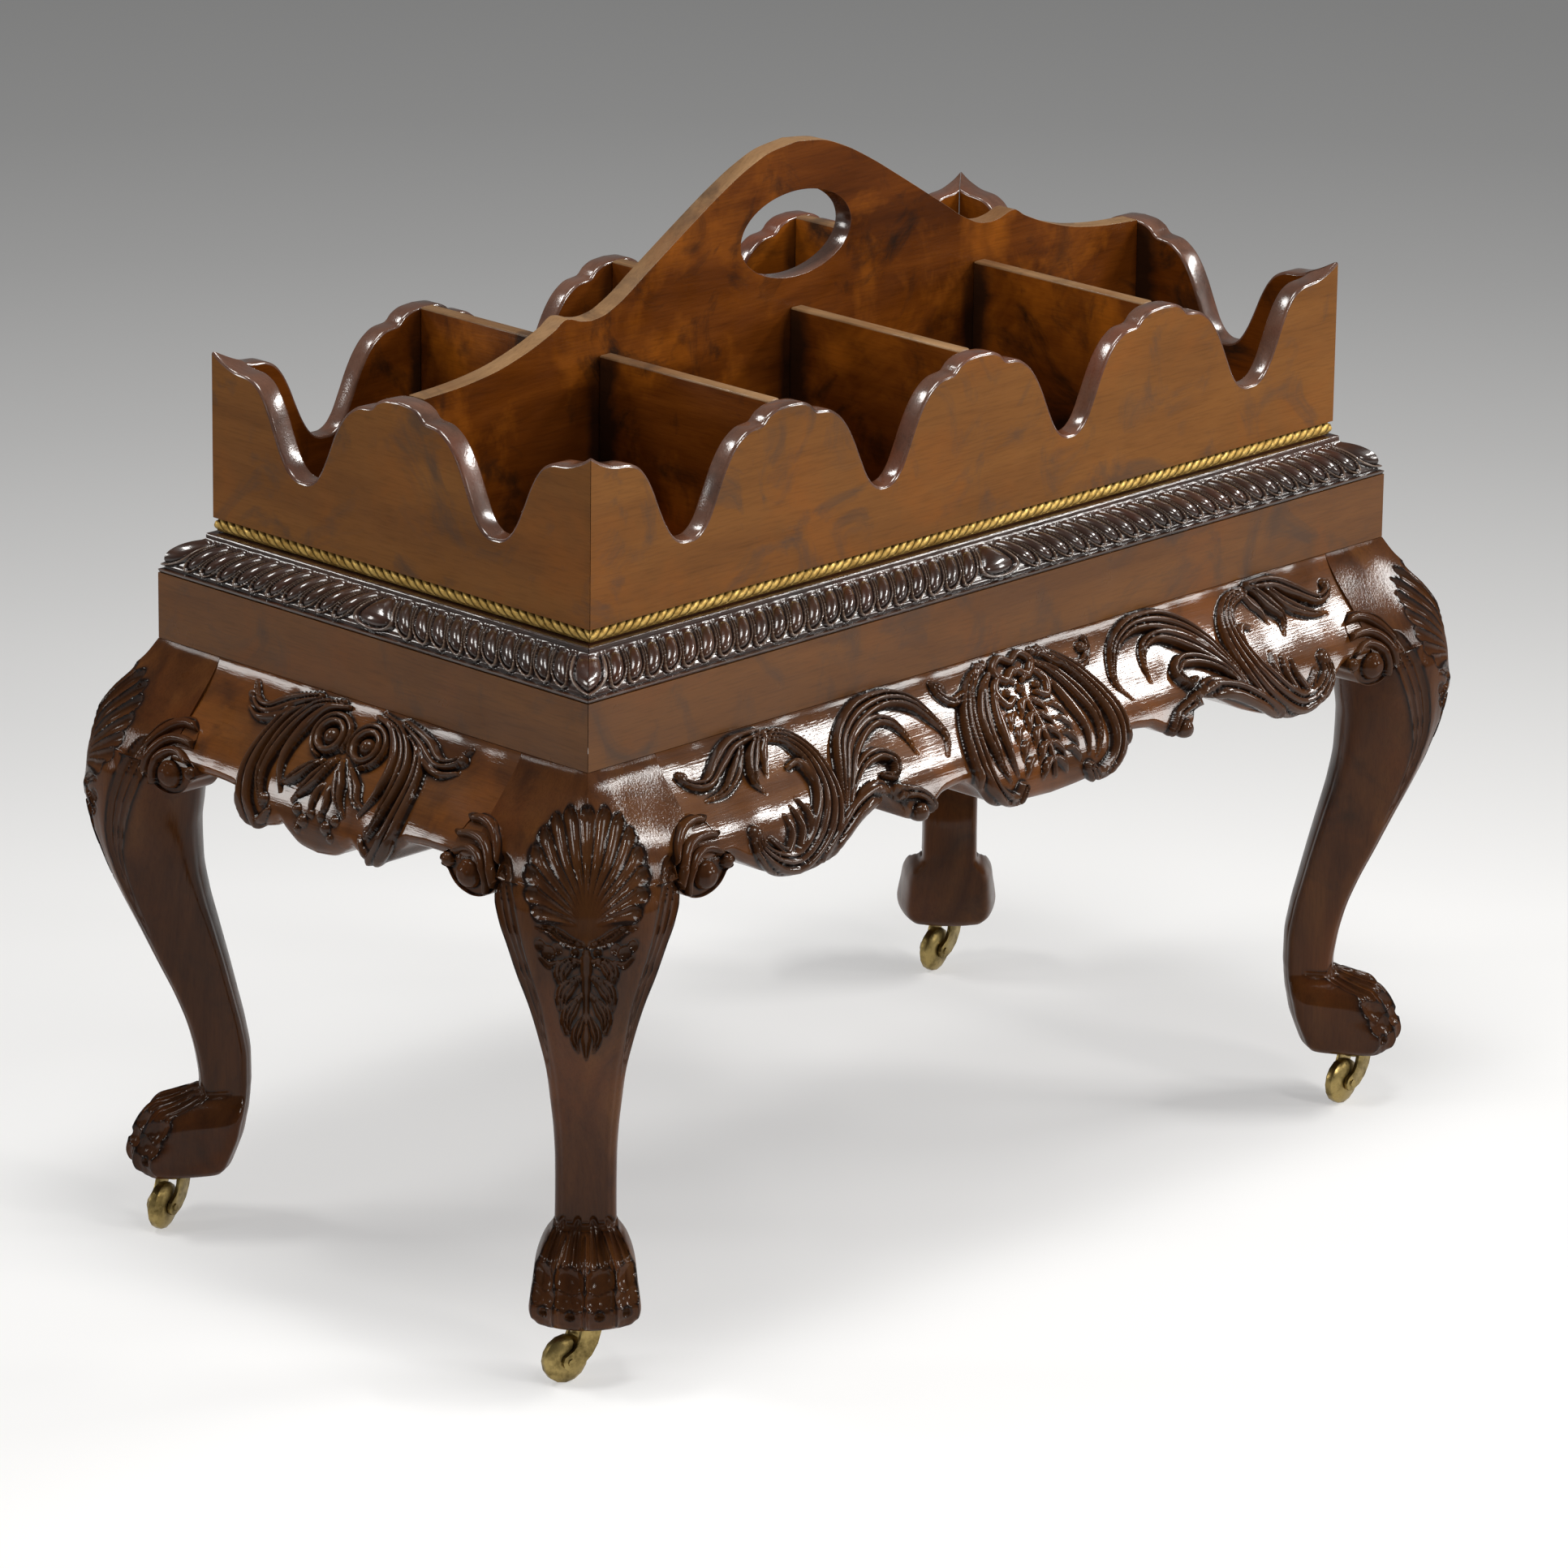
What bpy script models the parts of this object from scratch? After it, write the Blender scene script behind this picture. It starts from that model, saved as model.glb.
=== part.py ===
# Bottle carrier on a carved stand: a scalloped mahogany carrier with eight
# compartments lifts off a stand with gadrooned edge, bulging aprons and four
# cabriole legs on swivelling brass castors. Metres, +Z up, origin on the floor.
import math

import bmesh
import bpy
from mathutils import Matrix, Vector

# Clearance between pieces that touch, and what a cutter reaches past its work
CLEAR = 0.0003
OVERRUN = 0.004
MERGE_DISTANCE = 0.000001

# Carrier boards
CARRIER_LENGTH = 0.600
CARRIER_DEPTH = 0.295
LONG_BAY_COUNT = 4
END_BAY_COUNT = 2
SIDE_BOARD = 0.012
END_BOARD = 0.014
FLOOR_BOARD = 0.008
FLOOR_GROOVE = 0.002
BEAD_WIDTH = 0.008
DIVIDER_BOARD = 0.009
WALL_HEIGHT = 0.0955
SCALLOP_DEPTH = 0.0605

# Handle board
HANDLE_BOARD = 0.012
HANDLE_RISE = 0.0945
HAND_HOLE_LENGTH = 0.088
HAND_HOLE_HEIGHT = 0.049
HAND_HOLE_DROP = 0.0285

# Stand, whose ledge shows all round the carrier
LONG_LEDGE = 0.022
DEEP_LEDGE = 0.0212
STAND_LENGTH = CARRIER_LENGTH + 2 * LONG_LEDGE
STAND_DEPTH = CARRIER_DEPTH + 2 * DEEP_LEDGE
GADROON_HEIGHT = 0.0227
GADROON_WIDTH = 0.024
GADROON_ROUND = 0.020
GADROON_FILLET = 0.004
GADROON_LIP = 0.0018
GADROON_PITCH = 0.0142
GADROON_DEPTH = 0.0030
GADROON_SLANT = 0.006
FRIEZE_HEIGHT = 0.0375
FRIEZE_BOARD = 0.030
CORNER_BLOCK = 0.055

# Carved aprons
APRON_PROUD = 0.0405
APRON_BELLY = 0.066
APRON_BACK = 0.012
APRON_EDGE = 0.0547
LONG_APRON_DROP = 0.0747
END_APRON_DROP = 0.0767
APRON_ROLL = 0.006
SCROLL_HALF = 0.0085
SCROLL_PROUD = 0.0076
SCROLL_SINK = 0.003

# Cabriole legs
LEG_HEIGHT = 0.3089
LEG_WING = 0.050
LEG_BLOCK = 0.034
KNEE_FACE = 0.018
KNEE_PROUD = 0.0427
KNEE_HALF = 0.052
LEG_SET = 0.0495
TOE_DEPTH = 0.0022
TOE_TOP_SHARE = 0.890
WING_STEP = 0.0002
SHELL_ROOT_DROP = 0.0756
SHELL_CENTRE_DROP = 0.0456
SHELL_HALF = 0.0345
SHELL_RISE = 0.031
SHELL_PROUD = 0.0040
SHELL_SINK = 0.003
SHELL_RIB_COUNT = 7
SHELL_SWEEP = math.radians(100)

# Scroll ears beside the knees
EAR_RADIUS = 0.0092
EAR_LENGTH = 0.0242
EAR_HEIGHT = 0.0152
EAR_THICK = 0.028
EAR_PROUD = 0.0035
EAR_BEVEL = 0.0018
EAR_TURN = math.radians(30)

# Horned castors
WHEEL_DIAMETER = 0.0270
WHEEL_WIDTH = 0.0100
WHEEL_GAP = 0.0006
WHEEL_ROUND = 0.0030
WHEEL_FACE_DIP = 0.0010
WHEEL_BORE_GAP = 0.0004
AXLE_RADIUS = 0.0022
TRAIL = 0.0125
CASTOR_TURNS = (math.radians(165), math.radians(184), math.radians(190), math.radians(198))
CASTOR_SET = 0.0054
FORK_ARM = 0.0022
FORK_EYE = 0.0048
FORK_ROOT = 0.0062
BOSS_RADIUS = 0.0085
BOSS_HEIGHT = 0.0045
PIN_RADIUS = 0.0028
PIN_GAP = 0.0004
PIN_HEAD_RADIUS = 0.0045
PIN_HEAD_HEIGHT = 0.0011
PLATE_RADIUS = 0.0130
PLATE_THICK = 0.0020

# Heights that follow from the sizes above, from the floor up
AXLE_Z = WHEEL_DIAMETER / 2
BOSS_BOTTOM = WHEEL_DIAMETER + WHEEL_GAP
PLATE_BOTTOM = BOSS_BOTTOM + BOSS_HEIGHT + CLEAR
FOOT_BOTTOM = PLATE_BOTTOM + PLATE_THICK + CLEAR
FRIEZE_BOTTOM = FOOT_BOTTOM + LEG_HEIGHT + CLEAR
GADROON_BOTTOM = FRIEZE_BOTTOM + FRIEZE_HEIGHT + CLEAR
STAND_TOP = GADROON_BOTTOM + GADROON_HEIGHT
CARRIER_BOTTOM = STAND_TOP + CLEAR
WALL_BOTTOM = CARRIER_BOTTOM + FLOOR_BOARD + CLEAR
GROOVE_BOTTOM = CARRIER_BOTTOM + FLOOR_BOARD - FLOOR_GROOVE
LEG_TOP = FOOT_BOTTOM + LEG_HEIGHT

# Facets and steps of the round shapes
ROUND_STEPS = 16
PIN_STEPS = 12
HOLE_STEPS = 24
BEAD_STEPS = 6
LOBE_STEPS = 2
SPARE_LOBE_COUNT = 2
CURL_STEPS = 6
ARM_STEPS = 4
EYE_STEPS = 5
SHARP_ANGLE = math.radians(35)
FLAT_ANGLE = math.radians(0.2)
QUARTER = math.radians(90)
HALF_TURN = math.radians(180)

# Scalloped rim: distance from a peak as a share of half a bay, and the drop
# below the peak as a share of the scallop's depth
PEAK_SHARES = ((0, 0), (0.12, 0.012), (0.22, 0.06), (0.28, 0.125), (0.40, 0.145),
               (0.52, 0.225), (0.60, 0.33), (0.68, 0.49), (0.76, 0.69),
               (0.84, 0.85), (0.92, 0.955), (1, 1))
CORNER_SHARES = ((0, 0.01), (0.11, 0.09), (0.26, 0.15), (0.38, 0.165), (0.48, 0.215),
                 (0.56, 0.315), (0.63, 0.46), (0.70, 0.65), (0.77, 0.81),
                 (0.86, 0.935), (0.93, 0.983), (1, 1))

# Handle board: distance from the middle as a share of half its length, and the
# height above its ends as a share of the arch's rise
HANDLE_SHARES = ((0, 1), (0.07, 0.974), (0.135, 0.905), (0.21, 0.79), (0.28, 0.665),
                 (0.41, 0.424), (0.49, 0.277), (0.53, 0.23), (0.56, 0.22),
                 (0.59, 0.232), (0.612, 0.255), (0.626, 0.262), (0.66, 0.209),
                 (0.735, 0.12), (0.82, 0.052), (0.91, 0.016), (1, 0))

# Lower edges of the aprons: distance from the middle as a share of half their
# length, and the drop below the plain edge as a share of the deepest lobe's
LONG_EDGE_SHARES = ((0, 1), (0.075, 0.95), (0.14, 0.85), (0.185, 0.65), (0.213, 0.2),
                    (0.243, 0), (0.31, 0.08), (0.355, 0.35), (0.395, 0.53),
                    (0.426, 0.4), (0.441, 0), (0.463, -0.4), (0.49, -0.35),
                    (0.532, -0.1), (0.605, 0.4), (0.688, 0.76), (0.752, 0.89),
                    (0.816, 0.73), (0.875, 0.33), (0.925, 0), (1, 0))
END_EDGE_SHARES = ((0, 1), (0.10, 0.93), (0.185, 0.68), (0.236, 0.52), (0.286, 0.64),
                   (0.388, 0.75), (0.463, 0.59), (0.522, 0.23), (0.573, 0.05),
                   (0.75, 0), (1, 0))
BULGE_POWER = 1.3
CARVED_KEPT_SHARE = 0.7
FRONT_SHARES = (0, 0.16, 0.34, 0.54, 0.77, 1)

# Scrolls carved on one half of an apron: distance from the middle as a share of
# half its length, drop as a share of its front's height there, share of the width
LONG_SCROLL_SHARES = (
    ((0.074, 0.09, 0.4), (0.15, 0.19, 0.8), (0.195, 0.42, 1.1), (0.2, 0.72, 1.15),
     (0.17, 0.89, 0.9), (0.115, 0.88, 0.5)),
    ((0.607, 0.9, 0.3), (0.565, 0.64, 0.7), (0.515, 0.42, 0.9), (0.45, 0.28, 0.9),
     (0.372, 0.19, 0.8), (0.305, 0.27, 0.7), (0.262, 0.5, 0.3)),
    ((0.725, 0.09, 0.4), (0.66, 0.2, 1.1), (0.632, 0.45, 1.4), (0.655, 0.74, 1.3),
     (0.71, 0.87, 1.1), (0.78, 0.88, 1), (0.84, 0.8, 0.6)))
END_SCROLL_SHARES = (
    ((0.118, 0.1, 0.4), (0.287, 0.18, 0.6), (0.4, 0.3, 0.9), (0.437, 0.5, 1.1),
     (0.43, 0.73, 1), (0.38, 0.87, 0.6)),)

# Gadroon lobes: where down the round the hollow between two is at its full depth
SINK_SHARE = 0.5

# Leg below the knee block: drop as a share of the leg's height, front as a
# share of the knee's projection, back as a share of the leg's set, half width
# as a share of the knee's, hollow of the face's edges, rear width
LEG_SHARES = ((0.214, 0.995, 0.545, 0.940, 0.40, 0.70),
              (0.291, 0.977, 0.505, 0.815, 0.32, 0.74),
              (0.340, 0.906, 0.473, 0.720, 0.28, 0.78),
              (0.408, 0.735, 0.485, 0.580, 0.24, 0.82),
              (0.535, 0.304, 0.646, 0.408, 0.18, 0.90),
              (0.602, 0.070, 0.754, 0.365, 0.16, 0.93),
              (0.729, -0.328, 0.943, 0.317, 0.15, 0.95),
              (0.834, -0.468, 1.000, 0.317, 0.15, 0.95),
              (0.850, -0.445, 0.992, 0.321, 0.13, 0.95),
              (0.861, -0.304, 0.988, 0.350, 0.15, 0.95),
              (0.8725, -0.094, 0.980, 0.410, 0.20, 0.95),
              (0.885, 0.141, 0.972, 0.467, 0.25, 0.93),
              (0.903, 0.269, 0.950, 0.519, 0.28, 0.90),
              (0.929, 0.375, 0.919, 0.542, 0.30, 0.88),
              (0.942, 0.351, 0.889, 0.525, 0.30, 0.87),
              (0.957, 0.445, 0.859, 0.569, 0.28, 0.86),
              (0.974, 0.468, 0.818, 0.581, 0.28, 0.84),
              (0.989, 0.433, 0.778, 0.567, 0.28, 0.82),
              (1.000, 0.351, 0.717, 0.510, 0.25, 0.80))
UNDER_WING_SHARES = (0.958, 0.556, 0.904, 0.42, 0.70)
WING_SHARES = (0, 0.165, 0.33, 0.51, 0.73, 1)
KNEE_RISE_SHARES = (0, 0.165, 0.40, 0.66, 0.86, 0.958)
FACE_SHARES = (0, 0.25, 0.5, 0.75, 1)
FACE_EDGE_SHARE = 0.78
CROWN_SHARE = 0.8
SIDE_FALL_SHARE = 0.33
REAR_SET_SHARE = 0.3
HEEL_SET_SHARE = 0.07
HEEL_WIDTH_SHARE = 0.62

# Shell on the knee: distance from the root as a share of a rib's length, and
# the height there of a rib and of the hollow beside it
RIB_SHARES = (0.7, 1, 1)
HOLLOW_SHARES = (0.7, 0.45, 0.35)
RAY_SHARES = (0.12, 0.5, 1)
RIM_SHARE = 0.9


def new_collection(name):
    group = bpy.data.collections.new(name)
    bpy.context.scene.collection.children.link(group)
    return group


def new_material(name, colour, roughness, metallic):
    material = bpy.data.materials.new(name)
    material.use_nodes = True
    shader = material.node_tree.nodes["Principled BSDF"]
    shader.inputs["Base Color"].default_value = (*colour, 1)
    shader.inputs["Roughness"].default_value = roughness
    shader.inputs["Metallic"].default_value = metallic
    material.diffuse_color = (*colour, 1)
    return material


def add_object(name, mesh, material, group, location=(0, 0, 0), turn=0.0, parent=None):
    thing = bpy.data.objects.new(name, mesh)
    if not mesh.materials:
        mesh.materials.append(material)
    thing.location = location
    thing.rotation_euler = (0, 0, turn)
    thing.parent = parent
    group.objects.link(thing)
    return thing


def add_empty(name, group, location, turn=0.0, parent=None):
    empty = bpy.data.objects.new(name, None)
    empty.location = location
    empty.rotation_euler = (0, 0, turn)
    empty.parent = parent
    group.objects.link(empty)
    return empty


def finished_mesh(name, bm, smooth=True):
    bmesh.ops.recalc_face_normals(bm, faces=bm.faces)
    mesh = bpy.data.meshes.new(name)
    bm.to_mesh(mesh)
    bm.free()
    if smooth:
        mesh.shade_smooth()
        mesh.set_sharp_from_angle(angle=SHARP_ANGLE)
    return mesh


def box_bmesh(low, high):
    bm = bmesh.new()
    size = Vector(high) - Vector(low)
    middle = (Vector(high) + Vector(low)) / 2
    bmesh.ops.create_cube(bm, size=1, matrix=Matrix.Translation(middle) @ Matrix.Diagonal((*size, 1)))
    return bm


def cylinder_bmesh(radius, low, high, steps=PIN_STEPS):
    bm = bmesh.new()
    middle = Matrix.Translation((0, 0, (low + high) / 2))
    bmesh.ops.create_cone(bm, cap_ends=True, segments=steps, radius1=radius, radius2=radius,
                          depth=high - low, matrix=middle)
    return bm


def cut_with_plane(bm, point, normal):
    # Cuts away the side that the normal points to and closes the cut
    everything = bm.verts[:] + bm.edges[:] + bm.faces[:]
    cut = bmesh.ops.bisect_plane(bm, geom=everything, dist=MERGE_DISTANCE, plane_co=point,
                                 plane_no=normal, clear_outer=True)
    edges = [part for part in cut["geom_cut"] if isinstance(part, bmesh.types.BMEdge)]
    bmesh.ops.holes_fill(bm, edges=edges)


def loft(rings):
    # A closed solid through rings of the same number of points, capped
    bm = bmesh.new()
    rows = [[bm.verts.new(point) for point in ring] for ring in rings]
    count = len(rows[0])
    for row, following in zip(rows, rows[1:]):
        for i in range(count):
            j = (i + 1) % count
            bm.faces.new((row[i], row[j], following[j], following[i]))
    bm.faces.new(rows[0])
    bm.faces.new(reversed(rows[-1]))
    bmesh.ops.dissolve_limit(bm, angle_limit=FLAT_ANGLE, verts=bm.verts, edges=bm.edges)
    return bm


def outline_bmesh(loops, thickness):
    # A flat outline drawn in X and Z, thickness shared to both sides of Y
    curve = bpy.data.curves.new("outline", "CURVE")
    curve.dimensions = "2D"
    curve.fill_mode = "BOTH"
    curve.extrude = thickness / 2
    for points in loops:
        spline = curve.splines.new("POLY")
        spline.points.add(len(points) - 1)
        for place, (x, z) in zip(spline.points, points):
            place.co = (x, z, 0, 1)
        spline.use_cyclic_u = True
    holder = bpy.data.objects.new("outline", curve)
    bpy.context.scene.collection.objects.link(holder)
    bpy.context.view_layer.update()
    graph = bpy.context.evaluated_depsgraph_get()
    flat = bpy.data.meshes.new_from_object(holder.evaluated_get(graph))
    bpy.data.objects.remove(holder)
    bm = bmesh.new()
    bm.from_mesh(flat)
    bpy.data.meshes.remove(flat)
    bmesh.ops.remove_doubles(bm, verts=bm.verts, dist=MERGE_DISTANCE)
    bmesh.ops.dissolve_limit(bm, angle_limit=FLAT_ANGLE, verts=bm.verts, edges=bm.edges)
    bmesh.ops.rotate(bm, verts=bm.verts, matrix=Matrix.Rotation(QUARTER, 3, "X"))
    return bm


def boolean_mesh(name, pieces, cutters, kept_share=1):
    # Unions the pieces, cuts them, thins out the facets and returns the mesh
    holders = []
    for bm in pieces + cutters:
        holder = bpy.data.objects.new("piece", finished_mesh("piece", bm, smooth=False))
        bpy.context.scene.collection.objects.link(holder)
        holders.append(holder)
    base = holders[0]
    for number, other in enumerate(holders[1:], 1):
        step = base.modifiers.new("shape", "BOOLEAN")
        step.object = other
        step.operation = "UNION" if number < len(pieces) else "DIFFERENCE"
    if kept_share < 1:
        base.modifiers.new("thin", "DECIMATE").ratio = kept_share
    bpy.context.view_layer.update()
    graph = bpy.context.evaluated_depsgraph_get()
    mesh = bpy.data.meshes.new_from_object(base.evaluated_get(graph))
    mesh.name = name
    for holder in holders:
        bpy.data.objects.remove(holder)
    mesh.shade_smooth()
    mesh.set_sharp_from_angle(angle=SHARP_ANGLE)
    return mesh


def mirrored(half):
    # Both sides of an outline given from the middle out, left to right
    return [(-x, z) for x, z in reversed(half[1:])] + list(half)


def arc(centre, radius, start, end, steps):
    return [(centre[0] + radius * math.cos(start + (end - start) * i / steps),
             centre[1] + radius * math.sin(start + (end - start) * i / steps))
            for i in range(steps + 1)]


def mitre_normal(along, across):
    # Normal of the mitre through a corner of boards with these thicknesses
    return Vector((across, along, 0)).normalized()


def mitred_rail(bm, length, depth, thickness, other_thickness):
    # Cuts both ends of a rail whose outer face lies at Y of minus half the depth
    for side in (-1, 1):
        corner = Vector((side * length / 2, -depth / 2, 0))
        normal = mitre_normal(other_thickness, thickness)
        normal.x = normal.x * side
        cut_with_plane(bm, corner - normal * CLEAR / 2, normal)
    return bm


# Carrier

def rim(length, bays):
    # The scalloped top edge from left to right, heights above the wall's foot
    half = length / (2 * bays)
    points = []
    for bay in range(bays):
        left = -length / 2 + 2 * half * bay
        right = left + 2 * half
        rising = CORNER_SHARES if bay == 0 else PEAK_SHARES
        falling = CORNER_SHARES if bay == bays - 1 else PEAK_SHARES
        points += [(left + half * x, WALL_HEIGHT - SCALLOP_DEPTH * drop) for x, drop in rising]
        points += [(right - half * x, WALL_HEIGHT - SCALLOP_DEPTH * drop)
                   for x, drop in reversed(falling[:-1])]
        if bay < bays - 1:
            points.pop()
    return points


def wall_mesh(name, length, depth, bays, board, other_board):
    # A scalloped board down to the carrier's foot, rebated there for the bead
    foot = CARRIER_BOTTOM - WALL_BOTTOM
    points = [(-length / 2, foot)] + rim(length, bays) + [(length / 2, foot)]
    bm = outline_bmesh([points], board)
    shift = Vector((0, -depth / 2 + board / 2, WALL_BOTTOM))
    bmesh.ops.translate(bm, verts=bm.verts, vec=shift)
    mitred_rail(bm, length, depth, board, other_board)
    tongue = BEAD_WIDTH + CLEAR
    low = Vector((-length / 2 - OVERRUN, -depth / 2 - OVERRUN, CARRIER_BOTTOM - OVERRUN))
    long_rebate = box_bmesh(low, (length / 2 + OVERRUN, tongue - depth / 2, WALL_BOTTOM))
    left_rebate = box_bmesh(low, (tongue - length / 2, 0, WALL_BOTTOM))
    right_rebate = box_bmesh((length / 2 - tongue, low.y, low.z), (-low.x, 0, WALL_BOTTOM))
    return boolean_mesh(name, [bm], [long_rebate, left_rebate, right_rebate])


def floor_mesh():
    # The board between the walls, grooved for the handle board and the dividers
    half_length = CARRIER_LENGTH / 2 - END_BOARD - CLEAR
    half_depth = CARRIER_DEPTH / 2 - SIDE_BOARD - CLEAR
    top = CARRIER_BOTTOM + FLOOR_BOARD
    board = box_bmesh((-half_length, -half_depth, CARRIER_BOTTOM), (half_length, half_depth, top))
    half_groove = HANDLE_BOARD / 2 + CLEAR
    grooves = [box_bmesh((-half_length - OVERRUN, -half_groove, GROOVE_BOTTOM),
                         (half_length + OVERRUN, half_groove, top + OVERRUN))]
    half_groove = DIVIDER_BOARD / 2 + CLEAR
    for x in divider_places():
        grooves.append(box_bmesh((x - half_groove, -half_depth - OVERRUN, GROOVE_BOTTOM),
                                 (x + half_groove, half_depth + OVERRUN, top + OVERRUN)))
    return boolean_mesh("carrier_floor", [board], grooves)


def divider_places():
    bay = CARRIER_LENGTH / LONG_BAY_COUNT
    return [bay * i - CARRIER_LENGTH / 2 for i in range(1, LONG_BAY_COUNT)]


def bead_mesh(name, length, depth):
    # A rounded bar round the carrier's foot, flush with the wall above it
    radius = FLOOR_BOARD / 2
    middle = CARRIER_BOTTOM + radius
    outer = -depth / 2 + radius
    section = [(-depth / 2 + BEAD_WIDTH, CARRIER_BOTTOM + FLOOR_BOARD)]
    section += [(outer + radius * math.cos(angle), middle + radius * math.sin(angle))
                for angle in [QUARTER + HALF_TURN * i / BEAD_STEPS for i in range(BEAD_STEPS + 1)]]
    section += [(-depth / 2 + BEAD_WIDTH, CARRIER_BOTTOM)]
    rings = [[(x, y, z) for y, z in section] for x in (-length / 2, length / 2)]
    bm = mitred_rail(loft(rings), length, depth, BEAD_WIDTH, BEAD_WIDTH)
    return finished_mesh(name, bm)


def handle_mesh():
    half = CARRIER_LENGTH / 2 - END_BOARD - CLEAR
    end_height = WALL_HEIGHT - CLEAR
    top = [(half * x, end_height + HANDLE_RISE * z) for x, z in HANDLE_SHARES]
    foot = GROOVE_BOTTOM + CLEAR - WALL_BOTTOM
    outline = [(-half, foot)] + mirrored(top) + [(half, foot)]
    centre = end_height + HANDLE_RISE - HAND_HOLE_DROP - HAND_HOLE_HEIGHT / 2
    turns = [2 * HALF_TURN * i / HOLE_STEPS for i in range(HOLE_STEPS)]
    hole = [(HAND_HOLE_LENGTH / 2 * math.cos(turn), centre + HAND_HOLE_HEIGHT / 2 * math.sin(turn))
            for turn in turns]
    bm = outline_bmesh([outline, hole], HANDLE_BOARD)
    bmesh.ops.translate(bm, verts=bm.verts, vec=(0, 0, WALL_BOTTOM))
    return finished_mesh("handle_board", bm)


def build_carrier(group, wood, brass):
    carrier = add_empty("carrier", group, (0, 0, 0))
    add_object("carrier_floor", floor_mesh(), wood, group, parent=carrier)
    side = wall_mesh("side_wall", CARRIER_LENGTH, CARRIER_DEPTH, LONG_BAY_COUNT, SIDE_BOARD, END_BOARD)
    add_object("front_wall", side, wood, group, parent=carrier)
    add_object("back_wall", side, wood, group, turn=HALF_TURN, parent=carrier)
    end = wall_mesh("end_wall", CARRIER_DEPTH, CARRIER_LENGTH, END_BAY_COUNT, END_BOARD, SIDE_BOARD)
    add_object("left_end", end, wood, group, turn=-QUARTER, parent=carrier)
    add_object("right_end", end, wood, group, turn=QUARTER, parent=carrier)
    add_object("handle_board", handle_mesh(), wood, group, parent=carrier)
    near = HANDLE_BOARD / 2 + CLEAR
    far = CARRIER_DEPTH / 2 - SIDE_BOARD - CLEAR
    low = (-DIVIDER_BOARD / 2, -far, GROOVE_BOTTOM + CLEAR)
    high = (DIVIDER_BOARD / 2, -near, WALL_BOTTOM + WALL_HEIGHT)
    divider = finished_mesh("divider", box_bmesh(low, high))
    for row, turn in (("front", 0.0), ("back", HALF_TURN)):
        for number, x in enumerate(divider_places(), 1):
            add_object(f"divider_{row}_{number}", divider, wood, group, (x, 0, 0), turn, carrier)
    long_bead = bead_mesh("long_bead", CARRIER_LENGTH, CARRIER_DEPTH)
    end_bead = bead_mesh("end_bead", CARRIER_DEPTH, CARRIER_LENGTH)
    for name, mesh, turn in (("bead_front", long_bead, 0.0), ("bead_back", long_bead, HALF_TURN),
                             ("bead_left", end_bead, -QUARTER), ("bead_right", end_bead, QUARTER)):
        add_object(name, mesh, brass, group, turn=turn, parent=carrier)


# Stand

def gadroon_mesh(name, length, depth):
    # Slanting lobes over a quarter round, fanned out from one at the middle
    lobes = 2 * round(length / (2 * GADROON_PITCH))
    half_pitch = length / (2 * lobes)
    reach = lobes + 2 * SPARE_LOBE_COUNT
    outer = -depth / 2
    inner = outer + GADROON_WIDTH
    shoulder = outer + GADROON_ROUND
    drop = GADROON_HEIGHT - GADROON_FILLET - GADROON_LIP
    rings = []
    for i in range(-reach, reach + 1):
        x = i * half_pitch
        hollow = GADROON_DEPTH * (abs(i) % 2)
        lean = math.copysign(GADROON_SLANT, i) if i else 0
        ring = [(x + lean / 2, inner, 0), (x, inner, GADROON_HEIGHT), (x, shoulder, GADROON_HEIGHT)]
        for j in range(LOBE_STEPS + 1):
            share = j / LOBE_STEPS
            turn = QUARTER * share
            sink = hollow * min(1, share / SINK_SHARE)
            width = (GADROON_ROUND - sink) * math.sin(turn)
            height = (drop - sink) * math.cos(turn)
            ring.append((x + lean * share, shoulder - width, GADROON_LIP + height))
        ring.append((x + lean, outer + GADROON_DEPTH, 0))
        rings.append([(px, py, pz + GADROON_BOTTOM) for px, py, pz in ring])
    bm = mitred_rail(loft(rings), length, depth, GADROON_WIDTH, GADROON_WIDTH)
    return finished_mesh(name, bm)


def frieze_mesh(name, length, depth):
    bm = box_bmesh((-length / 2, -depth / 2, FRIEZE_BOTTOM),
                   (length / 2, -depth / 2 + FRIEZE_BOARD, FRIEZE_BOTTOM + FRIEZE_HEIGHT))
    mitred_rail(bm, length, depth, FRIEZE_BOARD, FRIEZE_BOARD)
    return finished_mesh(name, bm)


def bulge(drop):
    # How far the carved surface stands out at this drop below the frieze
    return APRON_PROUD * math.sin(QUARTER * min(drop / APRON_BELLY, 1)) ** BULGE_POWER


def face_normal(drop):
    # The way the carved surface faces at this drop below the frieze
    turn = QUARTER * min(drop / APRON_BELLY, 1)
    steep = APRON_PROUD * QUARTER / APRON_BELLY
    slope = steep * BULGE_POWER * math.sin(turn) ** (BULGE_POWER - 1) * math.cos(turn)
    return Vector((0, -1, slope)).normalized()


def read_edge(edge, x):
    # The drop of the apron's lower edge at this distance from the middle
    for (start, drop), (end, following) in zip(edge, edge[1:]):
        if start <= x <= end:
            return drop + (following - drop) * (x - start) / (end - start)
    return edge[-1][1]


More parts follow.
